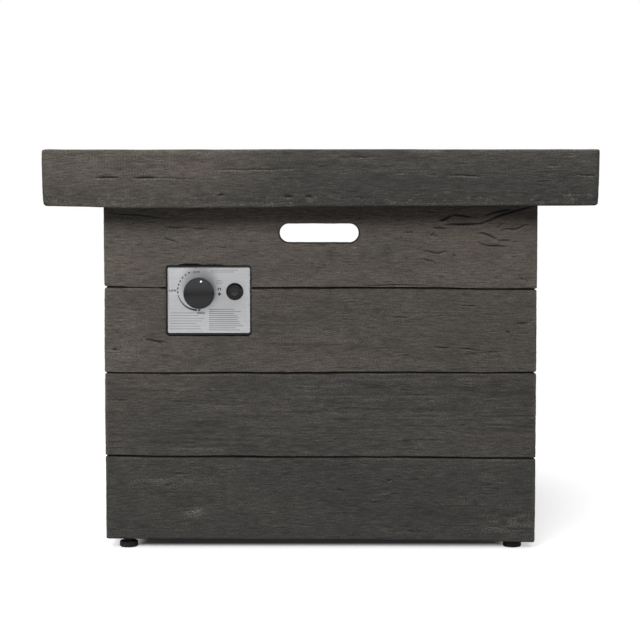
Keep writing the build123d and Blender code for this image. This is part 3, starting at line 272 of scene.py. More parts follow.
class Relief:
    """Depth, darkness and rubbing of a surface, gathered at its points."""

    def __init__(self, u, v, plank, period, settings):
        self.u, self.v, self.period, self.settings = u, v, period, settings
        self.height, self.dark, self.rubbed, self.sawn = np.zeros((4, *u.shape))
        # Each plank takes its grain from another place of the noise
        self.slid_u, self.slid_v = u + plank * PLANK_SLIDE[0], v + plank * PLANK_SLIDE[1]

    def waves(self, length, height, seed, flow=0.0):
        seed = self.settings.seed * 100 + seed
        return waves(self.slid_u, self.slid_v + flow, length, height, self.period, seed)

    def layered(self, layers, flow=0.0):
        return sum(share * self.waves(length, height, seed, flow) for share, length, height, seed in layers)

    def grain(self):
        """Broad swell, raised grain that flows along the plank, and fine open lines between the ridges."""
        settings = self.settings
        flow = self.layered(FLOW)
        self.height += in_mm(settings.swell) * (self.waves(230, 90, 3) - 0.4)
        ridges = self.layered(RIDGES, flow)
        self.height += in_mm(settings.grain_depth) * (ridges - 0.6)
        self.rubbed += 0.3 * ease((ridges - 0.25) / 0.5) * ease(self.waves(160, 34, 7) + 0.2)
        for length, height, seed in OPEN_LINES:
            line = 1 - ease(np.abs(self.waves(length, height, seed, flow)) / 0.08)
            shown = ease((self.waves(90, 16, seed + 20) - 0.35) / 0.3)
            self.height -= 0.4 * line * shown
            self.dark += 0.3 * line * shown

    def streaks(self, where):
        """Long fine streaks, dark in the hollows and pale on the ridges."""
        ridge = self.layered(STREAKS)
        shown = where * ease(self.waves(130, 26, 63) + 0.7)
        hollow = shown * ease((ridge - 0.3) / 0.6)
        self.dark += 0.34 * hollow
        self.rubbed += 0.3 * shown * ease((-ridge - 0.35) / 0.6)
        self.height -= 0.25 * hollow

    def crack(self, line, half_width, depth, lip_wear_and_highlight, darkness=1.5):
        """One open check along a line of points, tapered at both ends, with a pale lower lip: rubbed filler
        and a painted highlight.
        """
        line = np.array(sorted(line), float)
        start, end = line[0, 0], line[-1, 0]
        low, high = line[:, 1].min() - 6, line[:, 1].max() + 6
        near = (self.u > start) & (self.u < end) & (self.v > low) & (self.v < high)
        if not near.any():
            return
        u, v = self.u[near], self.v[near]
        above = v - np.interp(u, line[:, 0], line[:, 1])
        taper = np.sqrt(np.sin(np.pi * (u - start) / (end - start)))
        cut = np.exp(-((above / (half_width * taper + 0.05)) ** 2)) * taper
        self.height[near] -= depth * cut
        self.dark[near] += darkness * cut
        self.rubbed[near] += lip_wear_and_highlight * taper * np.exp(-(((above + 2.2 * half_width) / 1.3) ** 2))

    def saw_marks(self, start, end, low, high, strength):
        """A patch where faint upright marks of the saw show in the cast."""
        across = ease((self.u - start) / 25) * ease((end - self.u) / 25)
        patch = across * ease((self.v - low) / 8) * ease((high - self.v) / 8)
        self.sawn += strength * patch * ease(self.waves(30, 12, 52) + 0.8)

    def own_marks(self, half, rise, cracks, lip_wear_and_highlight, saw_marks, strength):
        """The front's own cracks and saw marks, which are listed by x from the middle and by height."""
        for half_width, depth, line in cracks:
            self.crack([(x + half, z + rise) for x, z in line], half_width, depth, lip_wear_and_highlight)
        for start, end, low, high in saw_marks:
            self.saw_marks(start + half, end + half, low + rise, high + rise, strength)

    def worn_patch(self, u, v, length, height, strength):
        """A patch where the filler shows through in specks."""
        shape = ((self.u - u) / length) ** 2 + ((self.v - v) / height) ** 2
        self.rubbed += strength * np.exp(-shape) * ease(self.waves(14, 5, 53) + 0.5)

    def checks(self, bands):
        """Short cracks strewn along each plank."""
        settings = self.settings
        rng = np.random.default_rng(settings.seed + 900)
        for low, high in bands:
            for _ in range(round(settings.checks_per_metre * self.period / 1000)):
                length = float(np.clip(rng.lognormal(3.1, 0.6), 8, 110))
                u, v = rng.uniform(0, self.period - length), rng.uniform(low + 6, high - 6)
                line = [(u, v)]
                for _ in range(4):
                    u, v = u + length / 4, v + rng.normal(0, 0.035) * length / 4 + rng.normal(0, 0.5)
                    line.append((u, v))
                depth = in_mm(settings.crack_depth) * rng.uniform(0.2, 0.8)
                self.crack(line, rng.uniform(0.55, 1.0), depth, rng.uniform(0, 0.7), 0.5)

    def seam(self, level, width, depth, broken=1.0, thin=()):
        """A groove between two planks, narrower in the thin spans, with shoulders that are worn by turns."""
        away = np.abs(self.v - level)
        seed = self.settings.seed
        worn = ease(0.5 + 0.9 * waves(self.u, self.v, 46, 9, self.period, seed + 31))
        width = width * (0.82 + 0.3 * waves(self.u, level * 7.3, 70, 1.0, self.period, seed + 32))
        for start, end in thin:
            width = width * (1 - 0.5 * ease((self.u - start) / 12) * ease((end - self.u) / 12))
        groove = np.clip(1.2 - away / width, 0, 1)
        shoulder = np.exp(-((away / (2.0 + 1.6 * worn)) ** 2))
        self.height -= depth * groove + 0.6 * worn * shoulder * broken
        self.dark = np.maximum(self.dark, 1.3 * ease(1.5 - away / width))
        edge = np.exp(-(((away - width - 1.4) / 1.4) ** 2))
        self.rubbed += 0.5 * edge * worn * (self.v < level) + 0.2 * edge * worn * (self.v > level)


# ---------------------------------------------------------------------------------------------
# A side of a casting: a sheet of grid lines, its openings, and its way round the table's corner
# ---------------------------------------------------------------------------------------------


class Path:
    """The casting's section from the table's middle outwards: radius and height at each row of the sheet."""

    def __init__(self, points):
        self.radius = np.array([p[0] for p in points])
        self.level = np.array([p[1] for p in points])
        steps = np.hypot(np.diff(self.radius), np.diff(self.level))
        self.along = np.concatenate([[0], np.cumsum(steps)])
        slope_r, slope_z = np.gradient(self.radius, self.along), np.gradient(self.level, self.along)
        size = np.hypot(slope_r, slope_z)
        self.normal_r, self.normal_z = slope_z / size, -slope_r / size

    def at(self, values, along):
        return np.interp(along, self.along, values)

    def along_face(self, level):
        """The row of the outer face at a level."""
        face = self.radius > self.radius.max() - 0.01
        return float(np.interp(level, self.level[face], self.along[face]))


def grid_sheet(columns, rows):
    """A flat sheet whose grid lines lie at the given columns and rows."""
    bm = bmesh.new()
    across, up = len(columns) - 1, len(rows) - 1
    bmesh.ops.create_grid(bm, x_segments=across, y_segments=up, size=1.0)
    for vert in bm.verts:
        vert.co.x = columns[round((vert.co.x + 1) / 2 * across)]
        vert.co.y = rows[round((vert.co.y + 1) / 2 * up)]
    return bm


class Opening:
    """A hole with round corners: a core rectangle grown by a radius, with a rounded, slightly rough rim."""

    def __init__(self, centre, size, radius, rim, rough, chips=()):
        self.centre = Vector((centre[0], centre[1]))
        self.core = Vector((size[0] / 2 - radius, size[1] / 2 - radius))
        self.radius, self.rim, self.rough, self.chips = radius, rim, rough, chips

    def outward(self, point):
        """The nearest core point, and the direction and distance from it."""
        offset = Vector((point.x, point.y)) - self.centre
        nearest = Vector([max(-c, min(c, o)) for o, c in zip(offset, self.core)])
        away = offset - nearest
        return self.centre + nearest, away.normalized(), away.length

    def edge(self, core, direction, shrink):
        """How far the rim is from the core: shrink goes from 0 on the face to 1 on the inner wall."""
        place = Vector((core.x + direction.x * 20, core.y + direction.y * 20, 3))
        wobble = noise.noise(place / 13) + 0.6 * noise.noise(place / 4)
        radius = self.radius + self.rim * (1 - shrink) + self.rough * wobble * (1 - 0.5 * shrink)
        for x, reach, depth in self.chips if direction.y > 0.5 else ():
            bite = depth * math.exp(-(((core.x - x) / reach) ** 4))
            radius += bite * (1 + noise.noise(place / 2.5)) * (1 - 0.6 * shrink)
        return radius

    def reach(self, point):
        """How far a point is outside the rim's outer edge."""
        core, direction, away = self.outward(point)
        return away - self.edge(core, direction, 0.0)

    def place(self, vert, shrink, depth):
        """Puts a vertex on the rim."""
        core, direction, _ = self.outward(vert.co)
        flat = core + direction * self.edge(core, direction, shrink)
        vert.co = (flat.x, flat.y, -depth)


RIM_REACH = 6.0  # how far from an opening the sheet's vertices may move to its rim
RIM_TURNS = (0.4, 0.8, 1.2, math.pi / 2)  # turns of the rounded rim's rings


def cut_opening(bm, opening, wall):
    """Opens the sheet and turns the opening's rim inwards through the wall."""
    inside = [f for f in bm.faces if opening.reach(f.calc_center_median()) < 0]
    bmesh.ops.delete(bm, geom=inside, context="FACES")
    loose = [v for v in bm.verts if not v.link_faces]
    bmesh.ops.delete(bm, geom=loose, context="VERTS")
    edges = [e for e in bm.edges if e.is_boundary and all(opening.reach(v.co) < RIM_REACH for v in e.verts)]
    ring = {v for e in edges for v in e.verts}
    for vert in ring:
        opening.place(vert, 0.0, 0.0)
    near = [v for v in bm.verts if v not in ring and opening.reach(v.co) < RIM_REACH + 1]
    for _ in range(4):
        bmesh.ops.smooth_vert(bm, verts=near, factor=0.5, use_axis_x=True, use_axis_y=True)
    stages = [(math.sin(t), opening.rim * (1 - math.cos(t))) for t in RIM_TURNS]
    for shrink, depth in stages + [(1.0, wall * 0.6), (1.0, wall)]:
        made = bmesh.ops.extrude_edge_only(bm, edges=edges)["geom"]
        edges = [g for g in made if isinstance(g, bmesh.types.BMEdge) and g.is_boundary]
        for vert in {v for e in edges for v in e.verts}:
            opening.place(vert, shrink, depth)


def extrude_ends(bm, columns, wall):
    """Turns the sheet's two end columns inwards, as the mitred ends of a panel."""
    for end in (columns[0], columns[-1]):
        edges = [e for e in bm.edges if e.is_boundary and all(abs(v.co.x - end) < 0.001 for v in e.verts)]
        made = bmesh.ops.extrude_edge_only(bm, edges=edges)["geom"]
        for vert in [g for g in made if isinstance(g, bmesh.types.BMVert)]:
            vert.co.z = -wall


def round_corner(x, radius, corner_radius):
    """Bends the ends of a straight side round the corner as far as the mitre."""
    over = np.abs(x) - (radius - corner_radius)
    turn = np.clip(over / np.maximum(corner_radius, 1e-6), 0, 1) * math.pi / 4
    bent = over > 0
    sine, cosine = np.where(bent, np.sin(turn), 0), np.where(bent, np.cos(turn), 1)
    across = np.where(bent, radius - corner_radius + corner_radius * sine, np.abs(x)) * np.sign(x)
    out = np.where(bent, radius - corner_radius + corner_radius * cosine, radius)
    return across, -out, sine * np.sign(x), -cosine


# What the finish reads at each vertex: stain in hollows and painted shade on the openings' walls, rubbed
# filler with a painted highlight on cracks' lower lips, saw marks, and the plank's shade with painted light
# and shade
FINISH_LAYERS = ("dark", "rubbed", "sawn", "tone")


def bend_sheet(bm, path, quarter, corner_radius, relief_of, reshape=None):
    """Takes a flat sheet to its place round the table and gives it its relief and its finish layers.

    relief_of gets the vertices' x, way along the section, radius, level and outward share of the normal.
    """
    flat = np.array([v.co for v in bm.verts])
    column, along, depth = flat[:, 0], flat[:, 1], -flat[:, 2]
    outer = path.radius.max()
    radius, level = path.at(path.radius, along), path.at(path.level, along)
    normal_r, normal_z = path.at(path.normal_r, along), path.at(path.normal_z, along)
    if reshape:
        radius, level = reshape(column + outer + quarter * 2 * outer, radius, level)
    x = column * radius / outer
    rounding = corner_radius * np.clip(1 - (outer - radius) / (2 * corner_radius), 0, 1)
    across, out, side, front = round_corner(x, radius, rounding)
    height, layers = relief_of(x, along, radius, level, normal_r)
    height = height * ease(1 - depth / 4)
    # Painted shade on the inner walls of the openings: from the face's edge below and at the ends, and from
    # deeper in above
    painted_shade_from = np.where(level > GRIP_PLACE[1] + 8, 0.6, -0.08)  # the cut edge shows below and at the ends
    layers[0][:] = np.maximum(layers[0], 0.97 * (depth > 0) * ease((depth - painted_shade_from) / 0.4))
    lift = height - depth
    outward = normal_r * lift
    place = np.stack([across + side * outward, out + front * outward, level + normal_z * lift], 1)
    mitred = (np.abs(np.abs(column) - outer) < 0.01) & (depth > 0.5)
    inner = radius - depth
    place[mitred] = np.stack([np.sign(column) * inner, -inner, level], 1)[mitred]
    turned = Matrix.Rotation(math.pi / 2 * quarter, 3, "Z")
    place = place @ np.array(turned.transposed()) * MM
    stores = [bm.verts.layers.float.new(name) for name in ("grain_u", "grain_v", *FINISH_LAYERS)]
    u = (x + outer + quarter * 2 * outer) * MM
    values = np.stack([u, along * MM, *layers], 1)
    for vert, point, numbers in zip(bm.verts, place, values):
        vert.co = point
        for store, number in zip(stores, numbers):
            vert[store] = number


def close_back(bm):
    """Fills every open loop of the sheet and joins what lies together."""
    bmesh.ops.remove_doubles(bm, verts=bm.verts, dist=0.01 * MM)
    bmesh.ops.dissolve_degenerate(bm, edges=bm.edges, dist=0.005 * MM)
    open_edges = [e for e in bm.edges if e.is_boundary]
    if open_edges:
        bmesh.ops.triangle_fill(bm, edges=open_edges, use_beauty=True, use_dissolve=False)
    bmesh.ops.recalc_face_normals(bm, faces=bm.faces)


def smooth_faces(bm):
    """Shades the faces smooth except across sharp edges."""
    for face in bm.faces:
        face.smooth = True
    for edge in bm.edges:
        if len(edge.link_faces) == 2 and edge.calc_face_angle() > SHARP_ANGLE:
            edge.smooth = False


def add_grain_map(bm):
    """Writes a UV map of real metres along and across the grain."""
    grain = bm.loops.layers.uv.new("grain")
    u, v = bm.verts.layers.float["grain_u"], bm.verts.layers.float["grain_v"]
    for face in bm.faces:
        for loop in face.loops:
            loop[grain].uv = (loop.vert[u], loop.vert[v])


def finish_casting(bm, name, material, node):
    """Closes a bent sheet and makes it a piece of the casting."""
    close_back(bm)
    add_grain_map(bm)
    smooth_faces(bm)
    finish_mesh(bm, name, material, (node,))


# ---------------------------------------------------------------------------------------------
# Base panels
# ---------------------------------------------------------------------------------------------

PANELS = ("front_panel", "right_panel", "rear_panel", "left_panel")
PANEL_TOES = 2.6  # radius of the panels' lower edge
PANEL_CORNER = 4.0
SEAM_WIDTH = 1.45
SEAM_THIN = ((28, 92), (97, 108))  # where the front's uppermost seam is narrow, from its left end

# Cracks of the front panel: half width, depth, and points of x from the middle and height, in millimetres
FRONT_CRACKS = (
    (1.9, 2.4, ((180, 498), (190, 503), (197, 510))),
    (1.1, 1.8, ((192, 504), (202, 508), (229, 506))),
    (1.0, 1.6, ((176, 499), (190, 502))),
    (1.4, 2.2, ((184, 494), (208, 494), (232, 495), (248, 496))),
    (1.7, 2.5, ((236, 495), (252, 500), (270, 508), (290, 514), (322, 522))),
    (1.5, 1.9, ((244, 507), (262, 513), (290, 517))),
    (1.2, 1.9, ((163, 470), (168, 481), (172, 479), (174, 471))),
    (1.5, 2.1, ((236, 482), (247, 481), (256, 477), (268, 471))),
    (0.9, 1.4, ((264, 471), (288, 471))),
    (1.0, 1.6, ((230, 475), (236, 468), (250, 463), (284, 462))),
    (1.0, 1.6, ((268, 485), (280, 488), (292, 487), (304, 492), (316, 495))),
    (0.8, 1.2, ((264, 489), (274, 496))),
    (0.9, 1.3, ((165, 488), (178, 488), (192, 487))),
    (0.8, 1.2, ((125, 481), (140, 482))),
    (0.9, 1.3, ((147, 460), (153, 455), (176, 450), (196, 456))),
    (0.9, 1.3, ((152, 442), (170, 438), (178, 430))),
    (0.9, 1.3, ((-234, 490), (-218, 489), (-200, 490))),
    (0.8, 1.1, ((-237, 486), (-232, 472), (-221, 470), (-209, 464))),
    (0.8, 1.0, ((-194, 488), (-170, 488))),
    (0.8, 1.1, ((-322, 510), (-296, 509), (-273, 508), (-250, 505), (-224, 502))),
    (1.0, 1.5, ((-271, 332), (-263, 321), (-246, 317), (-237, 311))),
    (0.9, 1.3, ((-254, 318), (-232, 316))),
    (1.4, 1.6, ((-314, 305), (-306, 305))),
    (1.0, 1.6, ((293, 346), (305, 345), (318, 347))),
    (1.3, 1.6, ((279, 334), (286, 331))),
    (0.9, 1.4, ((169, 308), (183, 307), (198, 308))),
    (0.9, 1.5, ((207, 307), (222, 306), (240, 304))),
    (0.7, 0.9, ((250, 302), (275, 301))),
    (0.8, 1.0, ((207, 373), (236, 372))),
    (0.8, 1.0, ((106, 354), (135, 353))),
    (1.2, 1.3, ((101, 105), (107, 106.5))),
    (0.8, 1.0, ((62, 401), (110, 403), (160, 402))),
)

# Chips of the casting above the control plate: middle, half length and depth
CHIPS = ((-194, 17, 3.0), (-161, 13, 2.2))

# Patches of upright saw marks on the front: from and to along x, and the lower and upper level
FRONT_SAW_MARKS = ((-90, -10, 398, 442), (-262, -115, 97, 112))

# Worn patches of the front: middle, half length, half height and strength
FRONT_WEAR = (
    (-192, 57, 20, 8, 0.8),
    (-235, 104, 45, 5, 0.6),
    (285, 40, 45, 20, 0.5),
    (-300, 300, 25, 12, 0.3),
)

# Shade of each plank from the lowest up, partly stain that differs by plank and partly painted shade that
# darkens the lower planks; 0 is half and 1 is one and a half times the stain's own
PLANK_TONES_AND_SHADE = (0.2, 0.27, 0.47, 0.64)
PLANK_STREAKS = (0.2, 1.0, 0.35, 0.25)  # how streaked each plank is
# Painted light: each plank is paler towards both ends of each side
PLANK_ENDS_PAINTED_LIGHT = (0.01, 0.05, 0.09, 0.03)  # paler towards both ends

# How far the cast edges lie above their own levels at the table's left, middle and right: the lower edge,
# the three seams and the upper edge
EDGE_RISES = ((2.8, 1.4, -3.0), (2.7, 0.8, -1.0), (0.6, 0.7, 1.5), (1.6, -0.2, -2.1), (0, 0, 0))


def left_end_painted_light(u, period, middle=40.0, reach=130.0, fade=220.0):
    """1 in the painted light round the front's left end, a paler patch, fading to 0."""
    away = np.abs((u - middle + period / 2) % period - period / 2)
    return ease(1 - (away - reach) / fade)


def panel_path(step):
    inner = BASE_HALF - WALL
    face = graded(BASE_BOTTOM + PANEL_TOES, SLAB_BOTTOM - 1, step, SEAMS, 0.75)
    points = [(inner, BASE_BOTTOM)]
    points += rounded((BASE_HALF, BASE_BOTTOM), PANEL_TOES, (1, 0), (0, 1))
    points += [(BASE_HALF, level) for level in face[1:-1]]
    points += rounded((BASE_HALF, SLAB_BOTTOM), 1.0, (0, 1), (-1, 0), 2)
    return Path(points + [(inner, SLAB_BOTTOM)])


def panel_openings(name, path):
    """The openings that each panel has, in the sheet's own columns and rows."""
    if name == "front_panel":
        left, right, below, above = RECESS_MARGINS
        low = PLATE_LOW / MM - Vector((left, 0, below))
        high = PLATE_HIGH / MM + Vector((right, 0, above))
        centre, size = (low + high) / 2, high - low
        grip = Opening((GRIP_PLACE[0], path.along_face(GRIP_PLACE[1])), GRIP_SIZE, GRIP_SIZE[1] / 2, 2.6, 0.5)
        middle = (centre.x, path.along_face(centre.z))
        return [grip, Opening(middle, (size.x, size.z), RECESS_CORNER, 0.9, 0.9, CHIPS)]
    if name == "rear_panel":
        vent = Opening((0, path.along_face(VENT_LEVEL)), VENT_SIZE, VENT_SIZE[1] / 2, 2.4, 0.4)
        low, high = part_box("hose_grommet")
        middle = (low + high) / 2 / MM
        hose = (-middle.x, path.along_face(middle.z))
        size = (2 * HOSE_HOLE_RADIUS, 2 * HOSE_HOLE_RADIUS)
        return [vent, Opening(hose, size, HOSE_HOLE_RADIUS, 0.6, 0.0)]
    return []


def panel_relief(settings, quarter):
    """Relief of a base panel: grain, checks, seams and, on the front, its own cracks."""
    period = 8 * BASE_HALF

    def relief_of(x, along, radius, level, normal_r):
        u = x + BASE_HALF + quarter * 2 * BASE_HALF

        def wander(rows, length, height, seed):
            return waves(u, rows, length, height, period, settings.seed + seed)

        drift = wander(level, 95, 200, 12) + 0.4 * wander(level, 30, 200, 13)
        v = level + in_mm(settings.seam_wave) * drift
        plank = np.searchsorted(SEAMS, v)
        relief = Relief(u, v, plank.astype(float), period, settings)
        relief.grain()
        relief.streaks(np.take(PLANK_STREAKS, plank))
        edges = [BASE_BOTTOM, *SEAMS, SLAB_BOTTOM]
        relief.checks(list(zip(edges, edges[1:])))
        if quarter == 0:
            relief.own_marks(BASE_HALF, 0, FRONT_CRACKS, 0.5, FRONT_SAW_MARKS, 0.8)
            for px, pz, length, rise, strength in FRONT_WEAR:
                relief.worn_patch(px + BASE_HALF, pz, length, rise, strength)
        for seam in SEAMS:
            thin = SEAM_THIN if quarter == 0 and seam == SEAMS[-1] else ()
            relief.seam(seam, SEAM_WIDTH, SEAM_DEPTH, 1.0, thin)
        corner = np.exp(-(((BASE_HALF - np.abs(x) - 1) / 2.5) ** 2))
        relief.rubbed += 0.55 * corner * ease(0.6 + wander(v, 60, 26, 14))
        toes = np.exp(-(((level - BASE_BOTTOM) / 3.0) ** 2))
        relief.height -= 0.7 * toes * ease(0.5 + wander(v, 34, 50, 15))
        relief.height -= 0.35 * ease(wander(plank * 3.3, 200, 1.0, 16))
        height = np.minimum(relief.height, 0.0) * ease(normal_r)
        # The tone holds painted light and shade: lower planks darker, paler round the front's left end and
        # towards the ends
        tone = np.take(PLANK_TONES_AND_SHADE, plank) + 0.05 * wander(v, 420, 90, 17)
        tone += 0.07 * left_end_painted_light(u, period) + np.take(PLANK_ENDS_PAINTED_LIGHT, plank) * (x / BASE_HALF) ** 2
        return height, (np.clip(relief.dark, 0, 1), np.clip(relief.rubbed, 0, 1), relief.sawn, tone)

    return relief_of


def tip_edges(bm):
    """Tips the planks' edges a little out of level, alike on both sides of each corner."""
    levels = [BASE_BOTTOM, *SEAMS, SLAB_BOTTOM]
    x, level = np.array([(vert.co.x / MM, vert.co.z / MM) for vert in bm.verts]).T
    left, middle, right = [np.interp(level, levels, rises) for rises in np.transpose(EDGE_RISES)]
    end = np.where(x < 0, left, right)
    rise = middle + (end - middle) * np.clip(np.abs(x) / BASE_HALF, 0, 1) ** 1.5
    for vert, lift in zip(bm.verts, rise):
        vert.co.z += lift * MM


def build_panel(name, quarter, settings, material):
    """One mitred base panel."""
    front = quarter == 0
    path = panel_path(in_mm(settings.row_step if front else settings.hidden_step))
    step = in_mm(settings.column_step) * (1 if front else 1.25)
    columns = graded(-BASE_HALF, BASE_HALF, step, (-BASE_HALF, BASE_HALF), 0.8)
    bm = grid_sheet(columns, list(path.along))
    for opening in panel_openings(name, path):
        cut_opening(bm, opening, WALL)
    extrude_ends(bm, columns, WALL)
    bend_sheet(bm, path, quarter, PANEL_CORNER, panel_relief(settings, quarter))
    tip_edges(bm)
    finish_casting(bm, f"cast_{name}", material, name)


class FIRETABLE_OT_base_panels(bpy.types.Operator):
    """Builds the four wood-grained base panels"""

    bl_idname = "firetable.base_panels"
    bl_label = "Base Panels"

    def execute(self, context):
        settings = context.scene.firetable_casting
        material = cast_wood_grain(context.scene.firetable_colours)
        for quarter, name in enumerate(PANELS):
            build_panel(name, quarter, settings, material)
        return {"FINISHED"}


# ---------------------------------------------------------------------------------------------
# Top slab
# ---------------------------------------------------------------------------------------------

SLAB_SIDES = ("front", "right", "rear", "left")
SLAB_LOWER_EDGE = 3.4
SLAB_DRAFT = 1.6
SLAB_UPPER_EDGE = 2.6
SLAB_CORNER = 6.0

# Cracks of the slab's front, as those of the panel
SLAB_CRACKS = (
    (1.1, 1.9, ((-328, 563), (-310, 563.5), (-292, 563))),
    (1.2, 2.1, ((-274, 562.5), (-254, 563), (-235, 563))),
    (0.6, 0.9, ((-240, 563), (-210, 562), (-176, 562))),
    (0.6, 0.9, ((-160, 575), (-120, 575.5), (-80, 574.5), (-29, 575))),
    (0.8, 1.3, ((182, 566), (205, 566.5), (234, 565))),
    (0.6, 0.9, ((153, 567), (171, 566.5))),
    (0.6, 0.8, ((44, 592), (78, 592))),
    (0.9, 1.4, ((370, 567), (388, 566), (403, 566.5))),
    (1.6, 1.2, ((-149, 539), (-141, 540))),
    (1.4, 0.9, ((-54, 537), (-38, 536))),
    (1.7, 1.3, ((-22, 537), (-12, 536))),
)
SLAB_SAW_MARKS = ((-350, -190, 562, 603),)

# How far the slab's lower edge hangs below its level, by the distance round the table from the front's left
EDGE_DROPS = (
    (-300, 0.3), (0, 1.2), (55, 2.0), (110, 4.0), (200, 4.0), (320, 3.2), (410, 2.0), (700, 0.5), (1000, 0)
)


def slab_path(step):
    """The slab's closed section, from the apron's inner edge round the outside and back."""
    top = graded(SLAB_HALF - SLAB_UPPER_EDGE, REBATE_HALF + 1, 1.5 * step, (TOP_SEAM_HALF,), 0.75)
    side = graded(SLAB_BOTTOM + SLAB_LOWER_EDGE, SLAB_TOP - SLAB_UPPER_EDGE, step)
    apron = SLAB_HALF - APRON
    points = [(apron, SLAB_BOTTOM)]
    points += rounded((SLAB_HALF, SLAB_BOTTOM), SLAB_LOWER_EDGE, (1, 0), (0, 1), 4)
    points += [(SLAB_HALF, level) for level in side[1:-1]]
    points += rounded((SLAB_HALF, SLAB_TOP), SLAB_UPPER_EDGE, (0, 1), (-1, 0), 3)
    points += [(radius, SLAB_TOP) for radius in top[1:-1]]
    points += rounded((REBATE_HALF, SLAB_TOP), 1.0, (-1, 0), (0, -1), 2)
    points += [(REBATE_HALF, REBATE_FLOOR), (OPENING_HALF, REBATE_FLOOR), (OPENING_HALF, SKIN_UNDERSIDE)]
    points += [(RIB_INNER, SKIN_UNDERSIDE), (RIB_INNER, SLAB_BOTTOM), (BASE_HALF, SLAB_BOTTOM)]
    points += [(BASE_HALF, SKIN_UNDERSIDE), (apron, SKIN_UNDERSIDE), (apron, SLAB_BOTTOM)]
    return Path(points)


def slab_shape(u, radius, level):
    """The draft of the slab's sides, and its lower edge, which isn't quite level."""
    face = (radius > SLAB_HALF - APRON - 1) & (level < SLAB_TOP - 1)
    down = np.where(face, (SLAB_TOP - level) / (SLAB_TOP - SLAB_BOTTOM), 0)
    rise = -np.interp(u, *np.transpose(EDGE_DROPS), period=8 * SLAB_HALF)
    from_corner = np.minimum(u % (2 * SLAB_HALF), -u % (2 * SLAB_HALF))
    first = np.minimum(u, 8 * SLAB_HALF - u) < SLAB_HALF / 2
    rise = rise + np.where(first, 4.5, 1.5) * np.exp(-((from_corner / 5) ** 1.3))
    outer = radius > SLAB_HALF - 6
    drafted = np.where(outer, radius - SLAB_DRAFT * np.clip(down, 0, 1) ** 2, radius)
    return drafted, level + rise * np.clip(down, 0, 1) ** 5


def slab_relief(settings, quarter, path):
    """Relief of a quarter of the slab: its side plank and two planks on its top."""
    period = 8 * SLAB_HALF
    brow = path.along_face(SLAB_TOP - SLAB_UPPER_EDGE)
    seam = brow + SLAB_HALF - TOP_SEAM_HALF
    foot = path.along_face(SLAB_BOTTOM + SLAB_LOWER_EDGE)
    last = float(path.along[np.argmin(np.abs(path.radius - REBATE_HALF))])

    def relief_of(x, along, radius, level, normal_r):
        u = x + SLAB_HALF + quarter * 2 * SLAB_HALF

        def wander(rows, length, height, seed):
            return waves(u, rows, length, height, period, settings.seed + seed)

        v = along + 0.9 * wander(along, 90, 120, 41)
        plank = np.where(v < brow + 6, 0, np.where(v < seam, 1, 2)) + 7.0
        on_top = ease((along - brow - 3) / 6)
        relief = Relief(u, v, plank, period, settings)
        relief.grain()
        relief.streaks(np.where(plank == 7, 0.8 * ease((along - foot - 25) / 40), 0.5))
        relief.checks([(foot, brow), (brow + 8, seam), (seam, last - 4)])
        if quarter == 0:
            rise = foot - SLAB_BOTTOM - SLAB_LOWER_EDGE
            relief.own_marks(SLAB_HALF, rise, SLAB_CRACKS, 0.8, SLAB_SAW_MARKS, 1.0)
        relief.seam(seam, 1.8, TOP_SEAM_DEPTH, 0.5)
        for edge, reach in ((brow + 2, 4.0), (foot - 2, 4.5)):
            band = np.exp(-(((along - edge) / reach) ** 2))
            worn = ease(0.45 + wander(v, 38, 40, 43))
            relief.height -= 0.8 * band * worn
            relief.rubbed += 0.5 * band * worn
        shown = ease((last - along) / 3) * ease((along - foot + 8) / 6)
        from_mitre = np.abs(radius - np.abs(x)) / math.sqrt(2)
        calm = 1 - on_top * (1 - ease((from_mitre - 1.5) / 5))
        height = np.minimum(relief.height, 0.0) * shown * calm
        mitre = on_top * np.clip(1 - from_mitre / 1.6, 0, 1) * shown
        height -= TOP_SEAM_DEPTH * mitre
        dark = np.maximum(relief.dark * calm, 1.3 * on_top * ease(1.2 - from_mitre / 2.0)) * shown
        tone = np.where(plank == 7, 0.23, np.where(plank == 8, 0.42, 0.36))
        tone += 0.05 * wander(v, 420, 70, 44)
        # Painted shade and light: the slab's side is darker towards its lower edge and paler round the
        # front's left end
        tone += (plank == 7) * (0.1 - 0.24 * ease((brow - along) / 85))
        tone += np.where(plank == 7, 0.3, 0.03) * left_end_painted_light(u, period)
        specks = ease((wander(v, 7, 3.6, 45) - 0.35) / 0.3)
        relief.rubbed += 0.4 * (plank == 7) * np.exp(-(((along - foot - 6) / 11) ** 2)) * specks
        return height, (np.clip(dark, 0, 1), np.clip(relief.rubbed * shown * calm, 0, 1), relief.sawn, tone)

    return relief_of


def build_slab_quarter(quarter, settings, material):
    """One mitred side of the slab, closed at its two mitres."""
    path = slab_path(in_mm(settings.row_step))
    step = in_mm(settings.column_step) * (1.0 if quarter == 0 else 1.2)
    columns = graded(-SLAB_HALF, SLAB_HALF, step, (-SLAB_HALF, SLAB_HALF), 0.9, 10.0)
    bm = grid_sheet(columns, list(path.along))
    bend_sheet(bm, path, quarter, SLAB_CORNER, slab_relief(settings, quarter, path), slab_shape)
    finish_casting(bm, f"cast_slab_{SLAB_SIDES[quarter]}", material, "top_slab")


class FIRETABLE_OT_top_slab(bpy.types.Operator):
    """Builds the thick wood-grained slab as four mitred sides"""

    bl_idname = "firetable.top_slab"
    bl_label = "Top Slab"

    def execute(self, context):
        settings = context.scene.firetable_casting
        material = cast_wood_grain(context.scene.firetable_colours)
        for quarter in range(4):
            build_slab_quarter(quarter, settings, material)
        return {"FINISHED"}


# ---------------------------------------------------------------------------------------------
# Lava stones
# ---------------------------------------------------------------------------------------------

STONE_EDGE = 5.2 * MM  # longest mesh edge on a stone
PORE_SIZE = 8.5 * MM
PORE_DEPTH = 4.2 * MM
LUMP_SIZE = 17.0 * MM
LUMP_DEPTH = 4.0 * MM


